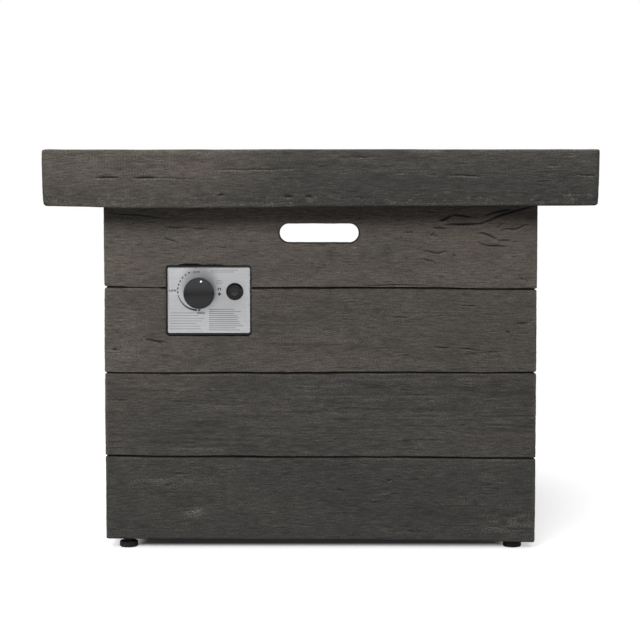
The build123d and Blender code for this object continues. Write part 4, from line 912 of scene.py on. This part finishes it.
def divide_to(bm, longest):
    """Divides the edges until none is longer than asked."""
    for _ in range(4):
        long_edges = [e for e in bm.edges if e.calc_length() > longest]
        if not long_edges:
            return
        bmesh.ops.subdivide_edges(bm, edges=long_edges, cuts=1)
        bmesh.ops.triangulate(bm, faces=[f for f in bm.faces if len(f.verts) > 3])


def build_stones(material):
    """The stones of the frame, with their corners worn round and their faces lumpy and porous."""
    bm = bmesh.new()
    bm.from_mesh(frame["nodes"]["lava_rocks"].data)
    bmesh.ops.remove_doubles(bm, verts=bm.verts, dist=0.01 * MM)
    bmesh.ops.dissolve_limit(bm, angle_limit=math.radians(1), verts=bm.verts, edges=bm.edges)
    bmesh.ops.triangulate(bm, faces=bm.faces)
    divide_to(bm, STONE_EDGE)
    every_axis = {"use_axis_x": True, "use_axis_y": True, "use_axis_z": True}
    for _ in range(3):
        bmesh.ops.smooth_vert(bm, verts=bm.verts, factor=0.5, **every_axis)
    bm.normal_update()
    for vert in bm.verts:
        lumps = noise.fractal(vert.co / LUMP_SIZE, 0.9, 2.1, 3) + 0.5
        nearest = noise.voronoi(vert.co / PORE_SIZE)[0][0]
        pore = max(0.0, 1 - nearest / 0.45)
        vert.co -= vert.normal * (LUMP_DEPTH * max(0.0, lumps) + PORE_DEPTH * pore)
    bmesh.ops.recalc_face_normals(bm, faces=bm.faces)
    for face in bm.faces:
        face.smooth = True
    finish_mesh(bm, "lava_stones", material, ("lava_rocks",))


class FIRETABLE_OT_lava_stones(bpy.types.Operator):
    """Builds the porous lava stones in the bowl"""

    bl_idname = "firetable.lava_stones"
    bl_label = "Lava Stones"

    def execute(self, context):
        build_stones(porous_lava(context.scene.firetable_colours))
        return {"FINISHED"}


# ---------------------------------------------------------------------------------------------
# Print on the control plate
# ---------------------------------------------------------------------------------------------

INK_THICKNESS = 0.05
PLATE_FACE = in_mm(PLATE_LOW.y)
BUTTON_LOW, BUTTON_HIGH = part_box("igniter_button")
DIAL_CENTRE = Vector((in_mm(PLATE_LOW.x) + 45.0, in_mm(PLATE_LOW.z) + 63.6))
DIAL_RADIUS = 30.0
DASH_ANGLES = (115, 127, 139, 151, 162, 173, 184)  # degrees from three o'clock, turning left
DASH_SIZE = (3.2, 1.9)
ARC_START, ARC_END = 192, 268
ARC_THIN, ARC_THICK = 0.9, 3.0
ARC_STEPS = 28
SPARK_PLACE = (-23.2, -3.8)  # from the igniter's middle
WORD_SIZE = 4.4


def flat_patch(bm, points):
    """A thin raised shape on the plate from an outline of x and height in millimetres."""
    verts = [bm.verts.new((x * MM, (PLATE_FACE - INK_THICKNESS) * MM, z * MM)) for x, z in points]
    face = bm.faces.new(verts)
    made = bmesh.ops.extrude_face_region(bm, geom=[face])["geom"]
    moved = [g for g in made if isinstance(g, bmesh.types.BMVert)]
    bmesh.ops.translate(bm, verts=moved, vec=(0, INK_THICKNESS * MM, 0))


def around(centre, radius, degrees):
    turn = math.radians(degrees)
    return centre.x + radius * math.cos(turn), centre.y + radius * math.sin(turn)


def dial_dashes(bm):
    """The dashes that run from off to low."""
    length, width = DASH_SIZE
    for angle in DASH_ANGLES:
        reach = math.degrees(length / 2 / DIAL_RADIUS)
        near, far = DIAL_RADIUS - width / 2, DIAL_RADIUS + width / 2
        corners = ((near, -reach), (far, -reach), (far, reach), (near, reach))
        flat_patch(bm, [around(DIAL_CENTRE, radius, angle + turn) for radius, turn in corners])


def dial_arc(bm):
    """The arc that grows from low to high, with a small hook at its end."""
    rim = DIAL_RADIUS + 0.5
    angles = [ARC_START + (ARC_END - ARC_START) * n / ARC_STEPS for n in range(ARC_STEPS + 1)]
    widths = [ARC_THIN + (ARC_THICK - ARC_THIN) * (n / ARC_STEPS) ** 0.8 for n in range(ARC_STEPS + 1)]
    outer = [around(DIAL_CENTRE, rim, angle) for angle in angles]
    inner = [around(DIAL_CENTRE, rim - width, angle) for angle, width in zip(angles, widths)]
    flat_patch(bm, outer + inner[::-1])
    hook = ((rim, 270), (rim, 276), (DIAL_RADIUS - 2.6, 279), (DIAL_RADIUS - 1.2, 271))
    flat_patch(bm, [around(DIAL_CENTRE, radius, angle) for radius, angle in hook])


def spark_sign(bm):
    """A small plain spark and ring between the knob and the igniter."""
    button = (BUTTON_LOW + BUTTON_HIGH) / 2 / MM
    centre = Vector((button.x + SPARK_PLACE[0], button.z + SPARK_PLACE[1]))
    flat_patch(bm, [around(centre, 1.6, 45 * n) for n in range(8)])
    for n in range(8):
        tip, near = around(centre, 2.6 if n % 2 else 3.4, 45 * n), 45 * n
        flat_patch(bm, [around(centre, 1.5, near - 40), tip, around(centre, 1.5, near + 40)])
    ring = centre + Vector((0, 7.0))
    outer = [around(ring, 2.6, angle) for angle in range(-50, 231, 20)]
    inner = [around(ring, 1.2, angle) for angle in range(-50, 231, 20)]
    flat_patch(bm, outer + inner[::-1])


def plain_rules(bm):
    """Rows of fine plain rules in two blocks under the dial, and one short pair above the igniter."""
    low, high = PLATE_LOW / MM, PLATE_HIGH / MM
    rng = np.random.default_rng(3)
    middle = (low.x + high.x) / 2
    blocks = (
        (low.x + 3.5, middle - 4, low.z + 4, low.z + 30, 4.0, 0.65),
        (middle, high.x - 10, low.z + 3.5, low.z + 35, 3.1, 1.2),
        (middle + 2, middle + 48, high.z - 9, high.z - 4.5, 2.6, 0.8),
        (middle + 11, middle + 22, high.z - 26, high.z - 20, 2.4, 0.7),
    )
    for start, end, bottom, top, pitch, height in blocks:
        level = top
        while level > bottom:
            far = start + (end - start) * rng.uniform(0.7, 1.0)
            flat_patch(bm, [(start, level), (far, level), (far, level + height), (start, level + height)])
            level -= pitch


def dial_word(text, x, z, material, spacing=1.15):
    """A plain word on the plate, as a mesh. Its place is from the dial's centre."""
    curve = bpy.data.curves.new(f"word_{text.lower()}", "FONT")
    curve.body = text
    curve.size = WORD_SIZE * MM
    curve.extrude = INK_THICKNESS * MM / 2
    curve.offset = 0.18 * MM
    curve.space_character = spacing
    curve.align_x = "CENTER"
    holder = add_object("holder", curve)
    bpy.context.view_layer.update()
    bm = bmesh.new()
    bm.from_mesh(bpy.data.meshes.new_from_object(holder))
    bpy.data.objects.remove(holder)
    x, z = DIAL_CENTRE.x + x, DIAL_CENTRE.y + z
    upright = Matrix.Translation((x * MM, (PLATE_FACE - INK_THICKNESS / 2) * MM, z * MM))
    bmesh.ops.transform(bm, matrix=upright @ Matrix.Rotation(math.pi / 2, 4, "X"), verts=bm.verts)
    bmesh.ops.remove_doubles(bm, verts=bm.verts, dist=0.001 * MM)
    finish_mesh(bm, f"word_{text.lower()}", material)


BEAD = 0.75  # radius of the plate's coined edge
PLATE_CORNER = 3.0


def plate_bead(bm):
    """The coined edge of the plate: a half-round bead just inside its outline."""
    low = PLATE_LOW / MM + Vector((PLATE_CORNER, 0, PLATE_CORNER))
    high = PLATE_HIGH / MM - Vector((PLATE_CORNER, 0, PLATE_CORNER))
    rings = []
    for x, z, start in ((high.x, high.z, 0), (low.x, high.z, 90), (low.x, low.z, 180), (high.x, low.z, 270)):
        for angle in range(start, start + 91, 15):
            ring = []
            for turn in range(0, 181, 30):
                out, proud = BEAD * math.cos(math.radians(turn)), BEAD * math.sin(math.radians(turn))
                px, pz = around(Vector((x, z)), PLATE_CORNER - BEAD + out, angle)
                ring.append(bm.verts.new((px * MM, (PLATE_FACE - proud) * MM, pz * MM)))
            rings.append([bm.edges.new(pair) for pair in zip(ring, ring[1:])])
    for one, other in zip(rings, rings[1:] + rings[:1]):
        bmesh.ops.bridge_loops(bm, edges=one + other)
    for face in bm.faces:
        face.smooth = True


class FIRETABLE_OT_plate_print(bpy.types.Operator):
    """Prints the dial, the spark sign and the plain rules on the control plate, and coins its edge"""

    bl_idname = "firetable.plate_print"
    bl_label = "Plate Print"

    def execute(self, context):
        black = printed_ink("Screen-printed ink, black", "1b1c1f")
        grey = printed_ink("Screen-printed ink, grey", "74777b")
        # The coined edge is a paler copy of the stainless steel, a painted highlight along the plate's edge
        highlight_steel = plated_metal("Stainless steel, coined edge, painted highlight", "f4f4f4", 0.3, "e6e7e7")
        for name, shapes, material, slot in (
            ("dial_print", (dial_dashes, dial_arc, spark_sign), black, "black_abs"),
            ("rule_print", (plain_rules,), grey, "black_abs"),
            ("plate_edge", (plate_bead,), highlight_steel, "stainless"),
        ):
            bm = bmesh.new()
            for shape in shapes:
                shape(bm)
            bmesh.ops.recalc_face_normals(bm, faces=bm.faces)
            finish_mesh(bm, name, material)
        dial_word("OFF", -1.6, DIAL_RADIUS - 3.4, black, 1.5)
        dial_word("LOW", -DIAL_RADIUS - 7.5, -1, black)
        dial_word("HIGH", 4.8, -DIAL_RADIUS - 4.8, black)
        return {"FINISHED"}


# Each spring's body and the joint that presses it
SPRINGS = {"valve_spring": ("root", "knob_push"), "igniter_spring": ("igniter_carrier", "igniter_press")}


class FIRETABLE_OT_springs(bpy.types.Operator):
    """Builds the valve's and the igniter's springs, each riding its own body in place of the frame's coil"""

    bl_idname = "firetable.springs"
    bl_label = "Springs"

    def execute(self, context):
        for node, (body, joint) in SPRINGS.items():
            coil = frame["nodes"][node].data
            bm = bmesh.new()
            bm.from_mesh(coil)
            bmesh.ops.remove_doubles(bm, verts=bm.verts, dist=0.01 * MM)
            smooth_faces(bm)
            piece = finish_mesh(bm, f"pressed_{node}", coil.materials[0], (node,), body)
            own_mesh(piece)
        return {"FINISHED"}


# ---------------------------------------------------------------------------------------------
# Materials
# ---------------------------------------------------------------------------------------------


def fill(tree, socket, value):
    """Links a socket to another node's output, or sets it. A colour is sRGB hex or three linear numbers."""
    if isinstance(value, bpy.types.NodeSocket):
        tree.links.new(value, socket)
        return
    if isinstance(value, str):
        value = hex_colour(value)
    socket.default_value = (*value, 1) if socket.type == "RGBA" and len(value) == 3 else value


def add(tree, kind, *inputs, out=0, **settings):
    """Adds a node with its settings and gives one of its outputs.

    The inputs stand in the order of the node's sockets, or in one dict by a socket's name or number.
    """
    node = tree.nodes.new("ShaderNode" + kind)
    for name, value in settings.items():
        setattr(node, name, value)
    links = inputs[0] if inputs and isinstance(inputs[0], dict) else dict(enumerate(inputs))
    for socket, value in links.items():
        fill(tree, node.inputs[socket], value)
    return node.outputs[out] if len(node.outputs) else None


def new_material(name, colour, roughness, metallic=0.0, **sockets):
    """A material with one Principled shader, whose plain values are set on the shader's own sockets."""
    material = bpy.data.materials.new(name)
    material.use_nodes = True
    tree = material.node_tree
    shader = tree.nodes["Principled BSDF"]
    values = {"Base Color": colour, "Roughness": roughness, "Metallic": metallic, **sockets}
    for socket, value in values.items():
        fill(tree, shader.inputs[socket], value)
    return material, tree, shader


def pattern(tree, place, stretch, detail=3.0, roughness=0.5):
    """Noise whose features measure one over the stretch, in metres, along each axis or along all of them."""
    if isinstance(stretch, int):
        stretch = (stretch, stretch, stretch)
    mapped = add(tree, "Mapping", {"Vector": place, "Scale": stretch})
    return add(tree, "TexNoise", {"Vector": mapped, "Scale": 1.0, "Detail": detail, "Roughness": roughness})


def product(tree, *factors):
    """Multiplies factors. Each is a value, or (value, low, high, start, end), which maps the value smoothly
    from the first range to the second."""
    result = None
    for factor in factors:
        if isinstance(factor, tuple):
            factor = add(tree, "MapRange", *factor, interpolation_type="SMOOTHSTEP")
        result = factor if result is None else add(tree, "Math", result, factor, operation="MULTIPLY")
    return result


def stained(tree, base, colour, *factors):
    """Lays a colour over the base, by the product of the factors."""
    return add(tree, "Mix", {0: product(tree, *factors), 6: base, 7: colour}, out=2, data_type="RGBA")


def shaded(tree, base, *factors):
    """Darkens or lightens the base by the product of the factors."""
    shade = product(tree, *factors)
    links = {0: 1.0, 6: base, 7: add(tree, "CombineColor", shade, shade, shade)}
    return add(tree, "Mix", links, out=2, data_type="RGBA", blend_type="MULTIPLY")


def dress(tree, shader, base, roughness=None, relief=None):
    """Gives a shader its colour, its roughness and its relief: a height, its depth in mm and its strength."""
    fill(tree, shader.inputs["Base Color"], base)
    if roughness is not None:
        fill(tree, shader.inputs["Roughness"], roughness)
    if relief:
        height, depth, strength = relief
        links = {"Height": height, "Distance": depth * MM, "Strength": strength}
        fill(tree, shader.inputs["Normal"], add(tree, "Bump", links))


SAW_PITCH = 4.4 * MM


def cast_wood_grain(colours):
    """Fibre-reinforced concrete cast in a mould taken from rough planks, stained and rubbed back by hand."""
    name = "Cast fibre concrete, plank grain, charcoal stain"
    if name in bpy.data.materials:
        return bpy.data.materials[name]
    # The stain dries matt and uneven; filler shows pale on ridges and edges, and stain stays in the cracks.
    material, tree, shader = new_material(name, colours.stain, 0.72, **{"Specular IOR Level": 0.25})
    grain = add(tree, "UVMap", uv_map="grain")
    layers = [add(tree, "Attribute", out="Fac", attribute_name=layer) for layer in FINISH_LAYERS]
    dark, rubbed, sawn, tone = layers
    clouds = pattern(tree, grain, (4, 11, 1), 4, 0.55)  # 250 mm by 90 mm
    blotches = pattern(tree, grain, (20, 46, 1), 4, 0.6)  # 50 mm by 22 mm, and finer
    dashes = pattern(tree, grain, (60, 430, 1), 4, 0.68)  # 17 mm by 2.3 mm, and finer
    lines = pattern(tree, grain, (11, 230, 1), 2, 0.5)  # 90 mm by 4 mm
    specks = pattern(tree, grain, (420, 560, 1), 3, 0.6)  # 2.4 mm by 1.8 mm
    base = stained(tree, colours.stain, colours.brown, (clouds, 0.36, 0.6, 0.6, 1), (tone, 0.2, 0.6, 0.15, 1))
    # Teeth marks of the saw, which wander a little with the blotches
    turns = product(tree, add(tree, "SeparateXYZ", grain, out="X"), 2 * math.pi / SAW_PITCH)
    turns = add(tree, "Math", turns, product(tree, blotches, 9.0))
    teeth = product(tree, sawn, add(tree, "Math", turns, operation="SINE"))
    swings = ((dashes, 0.73, 1.27), (specks, 0.72, 1.28), (blotches, 0.86, 1.14), (clouds, 0.92, 1.08))
    shades = [(noise_of, 0.3, 0.7, darkest, palest) for noise_of, darkest, palest in swings]
    # The tone layer brings painted light and shade: darker lower planks and slab edge, paler left end and
    # plank ends
    shades += [add(tree, "Math", tone, 0.5), (teeth, -1, 1, 0.93, 1.07)]
    base = shaded(tree, base, *shades)
    # Pale filler: where it is rubbed, on the ridges of the grain and as fine dust
    base = stained(tree, base, colours.rubbed, rubbed, (specks, 0.45, 0.62, 0.1, 1.0), 0.62)
    base = stained(tree, base, colours.rubbed, (dashes, 0.62, 0.76, 0, 0.3), (blotches, 0.45, 0.6, 0.1, 1))
    base = stained(tree, base, colours.rubbed, (specks, 0.66, 0.74, 0, 1), (clouds, 0.45, 0.6, 0.0, 0.6))
    # Hairline checks, the stain that stays in seams and cracks, and painted shade on the openings' inner
    # walls
    from_level = add(tree, "Math", add(tree, "Math", lines, -0.5), operation="ABSOLUTE")
    hair = product(tree, (from_level, 0.004, 0.02, 1, 0), (blotches, 0.52, 0.58, 0, 0.65))
    base = stained(tree, base, colours.soot, hair)
    base = stained(tree, base, colours.soot, dark, 0.96)
    heights = add(tree, "Math", dashes, specks)
    for marks, share in ((teeth, 0.25), (hair, -0.8)):
        heights = add(tree, "Math", heights, product(tree, marks, share))
    dress(tree, shader, base, product(tree, (dashes, 0.3, 0.7, 0.8, 0.62)), (heights, 0.7, 0.6))
    return material


# Painted shade on the plate, round the knob and below the igniter, where the knob's reflection and shade
# fall: the centre as a share of the plate's width and height, the radii in mm where it is fullest and where
# it ends, and its darkest shade
PAINTED_SHADE_ON_PLATE = (((0.385, 0.755), (17, 34), 0.62), ((0.76, 0.42), (8, 38), 0.86))


def brushed_stainless(colours):
    """Stainless sheet with a fine brushed grain, which stretches highlights across the brushing."""
    material, tree, shader = new_material("Stainless steel, brushed", colours.steel, 0.34, 1.0)
    place = add(tree, "TexCoord", out="Object")
    # Brush marks are far finer than this; 0.5 mm lines are the finest that still show.
    lines = pattern(tree, place, (18, 900, 2000), 3, 0.6)
    shades = [(lines, 0.3, 0.7, 0.9, 1.06), (pattern(tree, place, 14), 0.3, 0.7, 0.92, 1.06)]
    span = PLATE_HIGH - PLATE_LOW
    # Painted shade: the plate is darkened round the knob and below the igniter
    for (across, up), (full_shade_reach, end), darkest in PAINTED_SHADE_ON_PLATE:
        centre = (PLATE_LOW.x + across * span.x, PLATE_LOW.y, PLATE_LOW.z + up * span.z)
        away = add(tree, "VectorMath", place, centre, out="Value", operation="DISTANCE")
        shades.append((away, full_shade_reach * MM, end * MM, darkest, 1))
    base = shaded(tree, colours.steel, *shades)
    dress(tree, shader, base, product(tree, (lines, 0.3, 0.7, 0.28, 0.42)), (lines, 0.02, 0.35))
    return material


def heat_stained_steel(colours):
    """Stainless of the bowl and the burner, with the straw and grey bloom that heat leaves."""
    material, tree, shader = new_material("Stainless steel, rolled, heat-tinted", colours.steel, 0.36, 1.0)
    place = add(tree, "TexCoord", out="Object")
    bloom = pattern(tree, place, 22, 5, 0.6)
    lines = pattern(tree, place, (500, 500, 700), 2)
    base = stained(tree, "aeadaa", "948c82", (bloom, 0.4, 0.7, 0, 0.4))
    # The heat tint is strongest inside the bowl and at the burner, below the rim
    rim = SLAB_TOP * MM
    below = (add(tree, "SeparateXYZ", place, out="Z"), rim - 0.03, rim - 0.006, 1, 0)
    base = stained(tree, base, "635e5c", (bloom, 0.45, 0.7, 0.1, 0.75), below)
    dress(tree, shader, base, product(tree, (lines, 0.3, 0.7, 0.3, 0.42)), (lines, 0.02, 0.3))
    return material


def spangled_zinc():
    """Hot-dip galvanised sheet: zinc crystals of 8 to 15 mm with slightly different greys."""
    material, tree, shader = new_material("Galvanised steel sheet", "9da1a4", 0.42, 1.0)
    place = add(tree, "TexCoord", out="Object")
    cells = add(tree, "TexVoronoi", {"Vector": place, "Scale": 95.0})
    haze = pattern(tree, place, 40, 4)
    base = stained(tree, "85898d", "b3b6b8", cells.node.outputs["Color"])
    base = stained(tree, base, "a9aaa6", (haze, 0.45, 0.7, 0, 0.4))
    dress(tree, shader, base, product(tree, (cells, 0, 0.8, 0.34, 0.52)), (haze, 0.05, 0.3))
    return material


def plated_metal(name, colour, roughness, tarnish, tool_mark_mm=0.6):
    """A turned, drawn or plated metal: fine tool marks, and tarnish in soft patches."""
    material, tree, shader = new_material(name, colour, roughness, 1.0)
    place = add(tree, "TexCoord", out="Object")
    patches = pattern(tree, place, 60, 5, 0.6)
    per_metre = 1 / (tool_mark_mm * MM)
    marks = pattern(tree, place, (per_metre, per_metre, per_metre), 2)
    base = stained(tree, colour, tarnish, (patches, 0.42, 0.68, 0, 0.75))
    rough = product(tree, (patches, 0.3, 0.7, roughness * 0.8, roughness * 1.35))
    dress(tree, shader, base, rough, (marks, 0.015, 0.4))
    return material


def corrugated_hose():
    """A corrugated stainless hose: rings 3 mm apart along its run."""
    material, tree, shader = new_material("Corrugated stainless hose", "b5b6b7", 0.3, 1.0)
    place = add(tree, "TexCoord", out="Object")
    wave = add(tree, "TexWave", {"Vector": place, "Scale": 52.0}, out="Fac", bands_direction="DIAGONAL")
    haze = pattern(tree, place, 90, 4)
    base = shaded(tree, "bcbdbe", (wave, 0, 1, 0.55, 1.0))
    dress(tree, shader, base, product(tree, (haze, 0.3, 0.7, 0.24, 0.4)), (wave, 0.8, 0.8))
    return material


def porous_lava(colours):
    """Scoria: glassy rock full of bubbles, dark grey with rusty faces."""
    dull = {"Specular IOR Level": 0.3}
    material, tree, shader = new_material("Lava rock, scoria", colours.lava, 0.86, **dull)
    place = add(tree, "TexCoord", out="Object")
    grit = pattern(tree, place, 520, 4, 0.7)
    pores = add(tree, "TexVoronoi", {"Vector": place, "Scale": 420.0})
    base = stained(tree, colours.lava, "563c34", (pattern(tree, place, 28, 4, 0.6), 0.48, 0.66, 0, 1))
    base = stained(tree, base, "5c5552", (grit, 0.35, 0.7, 0, 0.8))
    # Painted shade: the pores are darker in the colour as well as deeper
    hollow = product(tree, (pores, 0.18, 0.42, 0.35, 1))
    heights = add(tree, "Math", product(tree, grit, 0.5), hollow)
    dress(tree, shader, shaded(tree, base, hollow), relief=(heights, 1.0, 0.9))
    return material


def mottled(name, colours, patches, spread, gloss, relief=None, skin=None, metallic=0.0, **sockets):
    """A surface with a second colour in soft patches, and a fine skin that sets its gloss and its bump.

    patches and skin are the stretch, detail and roughness of a pattern, and without a skin the patches stand
    in for it. spread is where on the patches the second colour starts and is fullest, and its share there.
    gloss is one roughness, or those at the skin's low and high places. relief is a depth in mm and strength.
    """
    varied = isinstance(gloss, tuple)
    plain = gloss[0] if varied else gloss
    material, tree, shader = new_material(name, colours[0], plain, metallic, **sockets)
    place = add(tree, "TexCoord", out="Object")
    patches = pattern(tree, place, *patches)
    skin = pattern(tree, place, *skin) if skin else patches
    start, full, share = spread
    base = stained(tree, *colours, (patches, start, full, 0, share))
    rough = product(tree, (skin, 0.3, 0.7, *gloss)) if varied else None
    dress(tree, shader, base, rough, (skin, *relief) if relief else None)
    return material


def printed_ink(name, colour):
    """Screen-printed ink: a thin even film, a little rough where it sits on the brushing."""
    return mottled(name, (colour, "8f9295"), (900, 3), (0.4, 0.7, 0.2), (0.42, 0.6))


def frame_finishes(colours):
    """The finish of each material of the frame, by the frame's own names for them."""
    return {
        "cast_stone": cast_wood_grain(colours),
        "galvanised_steel": spangled_zinc(),
        "zinc_fastener": plated_metal("Zinc-plated steel", "b2b3ae", 0.34, "8f8f88"),
        "stainless": heat_stained_steel(colours),
        # The fine orange peel that baking gives, under a little dust
        "black_steel": mottled(
            "Powder-coated steel, black", ("19191a", "2c2b2a"), (60, 4), (0.5, 0.75, 0.4),
            gloss=(0.48, 0.64), relief=(0.05, 0.5), skin=(700, 2),
        ),
        "brass": plated_metal("Turned brass", "c3984f", 0.3, "8a6a3a"),
        # A dull skin with fine pits and flow marks
        "cast_aluminium": mottled(
            "Die-cast aluminium", ("b0b3b5", "8f9294"), ((70, 70, 30), 5, 0.6), (0.35, 0.7, 1),
            gloss=(0.42, 0.62), relief=(0.06, 0.5), skin=(1400, 2), metallic=1.0,
        ),
        "copper": plated_metal("Drawn copper tube", "b87453", 0.32, "6f4636"),
        "lava": porous_lava(colours),
        # White and thinly glazed, browned near the flame
        "ceramic": mottled(
            "Glazed alumina ceramic", ("e9e5da", "a8967c"), ((80, 80, 50), 4), (0.5, 0.75, 0.6),
            gloss=0.22, relief=(0.05, 0.2),
        ),
        # An even spark-eroded skin that scatters a soft highlight, with a little dust
        "black_abs": mottled(
            "Moulded ABS, black satin", (colours.plastic, "303134"), (220, 5, 0.65), (0.6, 0.78, 0.3),
            gloss=(0.15, 0.25), relief=(0.02, 0.3), skin=(1800, 2), **{"Specular IOR Level": 0.62},
        ),
        # Filled into a moulded pocket: slightly glossy, with a faint grey edge
        "white_paint": mottled(
            "Filled paint, white", ("f4f4f1", "dcdcd8"), (600, 3), (0.45, 0.7, 0.4),
            gloss=0.35, relief=(0.02, 0.3),
        ),
        # Dull EPDM with a bloom of grey dust
        "black_rubber": mottled(
            "Moulded rubber, black", ("171717", "343332"), (130, 5, 0.6), (0.45, 0.72, 0.5),
            gloss=(0.6, 0.8), relief=(0.05, 0.4), skin=(1300, 2),
        ),
        "hose_metal": corrugated_hose(),
        "spring_steel": plated_metal("Spring steel wire", "8f9194", 0.3, "5f6164"),
        # The cell's sleeve, kept plain: glossy, with faint shrink lines
        "battery_sleeve": mottled(
            "PVC shrink sleeve, plain", ("26282c", "34373c"), ((300, 20, 300), 3), (0.4, 0.65, 1),
            gloss=0.2, relief=(0.03, 0.3),
        ),
    }


class FIRETABLE_OT_frame_finishes(bpy.types.Operator):
    """Gives every piece of the frame that shows as it is the finish of its real material"""

    bl_idname = "firetable.frame_finishes"
    bl_label = "Metal, Plastic and Rubber Finishes"

    def execute(self, context):
        colours = context.scene.firetable_colours
        finishes = frame_finishes(colours)
        plate = brushed_stainless(colours)
        slots = {part["node"]: part["material_slot"] for part in frame["record"]["subparts"]}
        for name, node in frame["nodes"].items():
            node.data.materials[0] = plate if name == "control_plate" else finishes[slots[name]]
        return {"FINISHED"}


# ---------------------------------------------------------------------------------------------
# Stage
# ---------------------------------------------------------------------------------------------

WHITE = (1, 1, 1)
FLOOR_HALF = 8.0

# Place, width and height in metres, and share of the key power
LAMPS = {
    "key_lamp": ((-0.8, -3.4, 1.67), (3.0, 0.9), 1.0),
    "top_lamp": ((-0.2, -0.5, 2.8), (2.6, 2.2), 0.35),
}
LAMP_TARGET = (0, 0, 0.35)

# The floor's glow for the camera: from and to, in metres from the base's side, and its strengths there
FLOOR_GLOW = (-0.058, -0.023, 0.018, 0.475)
FLOOR_FADE = (0.8, 1.6)  # from the table's middle to plain white


def light_world(scene, ambient):
    """A studio dome that is brighter above; the camera sees plain white behind the table."""
    world = bpy.data.worlds.new("Studio")
    scene.world = world
    world.use_nodes = True
    tree = world.node_tree
    tree.nodes.clear()
    upward = add(tree, "SeparateXYZ", add(tree, "TexCoord", out="Generated"), out="Z")
    rays = add(tree, "LightPath").node.outputs
    level = product(tree, (upward, -0.1, 0.8, 0.5 * ambient, 1.5 * ambient))
    # Metal and plastic reflect a broad soft backdrop instead of the lamps
    backdrop = product(tree, (upward, -0.03, 0.06, 0.35, 1.0))
    strength = add(tree, "Mix", {0: rays["Is Glossy Ray"], 2: level, 3: backdrop})
    dome = add(tree, "Background", WHITE, strength)
    white = add(tree, "Background", WHITE, 1.0)
    seen = add(tree, "Math", rays["Is Camera Ray"], rays["Is Transmission Ray"], operation="MAXIMUM")
    add(tree, "OutputWorld", add(tree, "MixShader", seen, dome, white))


def white_floor():
    """A matt white floor that keeps the shadow and fades to plain white away from the table."""
    material = bpy.data.materials.new("Studio floor, matt white")
    material.use_nodes = True
    tree = material.node_tree
    tree.nodes.clear()
    place = add(tree, "TexCoord", out="Object")
    sides = add(tree, "SeparateXYZ", add(tree, "VectorMath", place, operation="ABSOLUTE")).node.outputs
    from_middle = add(tree, "Math", sides["X"], sides["Y"], operation="MAXIMUM")
    base = BASE_HALF * MM
    start, end, under, beyond = FLOOR_GLOW
    glow = add(tree, "Emission", WHITE, product(tree, (from_middle, base + start, base + end, under, beyond)))
    lit = add(tree, "AddShader", add(tree, "BsdfDiffuse", (0.86, 0.86, 0.86)), glow)
    far = product(tree, (from_middle, *FLOOR_FADE, 0, 1))
    shown = add(tree, "MixShader", far, lit, add(tree, "Emission", WHITE, 1.0))
    dull = add(tree, "BsdfDiffuse", (0.36, 0.36, 0.36))
    camera = add(tree, "LightPath", out="Is Camera Ray")
    add(tree, "OutputMaterial", add(tree, "MixShader", camera, dull, shown))
    return material


def add_lamp(name, place, size, power):
    lamp = bpy.data.lights.new(name, "AREA")
    lamp.shape = "RECTANGLE"
    lamp.size, lamp.size_y = size
    lamp.energy = power
    holder = add_object(name, lamp)
    holder.location = place
    holder.rotation_euler = (Vector(LAMP_TARGET) - Vector(place)).to_track_quat("-Z", "Y").to_euler()
    holder.visible_glossy = False


class FIRETABLE_OT_stage(bpy.types.Operator):
    """Sets up the floor, the lamps and the camera"""

    bl_idname = "firetable.stage"
    bl_label = "Stage"

    def execute(self, context):
        stage = context.scene.firetable_stage
        scene = context.scene
        scene.view_settings.view_transform = "Standard"
        light_world(scene, stage.ambient)
        bm = bmesh.new()
        bmesh.ops.create_grid(bm, x_segments=8, y_segments=8, size=FLOOR_HALF)
        mesh_object(bm, "studio_floor", white_floor())
        for name, (place, size, share) in LAMPS.items():
            add_lamp(name, place, size, stage.key * share)
        camera = bpy.data.cameras.new("Camera")
        camera.lens = stage.lens
        camera.sensor_width = 36.0
        holder = add_object("Camera", camera)
        holder.location = (stage.shift, -SLAB_HALF * MM - stage.distance, stage.height)
        holder.rotation_euler = (math.pi / 2 - stage.tilt, 0, 0)
        scene.camera = holder
        return {"FINISHED"}


# ---------------------------------------------------------------------------------------------
# Sidebar and registration
# ---------------------------------------------------------------------------------------------

OPERATORS = (
    FIRETABLE_OT_stage,
    FIRETABLE_OT_frame_finishes,
    FIRETABLE_OT_base_panels,
    FIRETABLE_OT_top_slab,
    FIRETABLE_OT_lava_stones,
    FIRETABLE_OT_plate_print,
    FIRETABLE_OT_springs,
)


class FIRETABLE_PT_sidebar(bpy.types.Panel):
    """The fire table's pieces and settings"""

    bl_idname = "FIRETABLE_PT_sidebar"
    bl_label = "Fire Table"
    bl_space_type = "VIEW_3D"
    bl_region_type = "UI"
    bl_category = "Fire Table"

    def draw(self, context):
        for name in SETTINGS:
            group = getattr(context.scene, name)
            box = self.layout.box()
            for setting in group.bl_rna.properties.keys():
                if setting not in ("rna_type", "name"):
                    box.prop(group, setting)
        for operator in OPERATORS:
            self.layout.operator(operator.bl_idname)


SETTINGS = {
    "firetable_casting": CastingSettings,
    "firetable_colours": FinishColours,
    "firetable_stage": StageSettings,
}
CLASSES = (*SETTINGS.values(), *OPERATORS, FIRETABLE_PT_sidebar)


def register():
    for item in CLASSES:
        bpy.utils.register_class(item)
    for name, group in SETTINGS.items():
        setattr(bpy.types.Scene, name, PointerProperty(type=group))


def unregister():
    for name in SETTINGS:
        delattr(bpy.types.Scene, name)
    for item in reversed(CLASSES):
        bpy.utils.unregister_class(item)


def main():
    register()
    for operator in OPERATORS:
        group, name = operator.bl_idname.split(".")
        getattr(getattr(bpy.ops, group), name)()


if __name__ == "__main__":
    main()
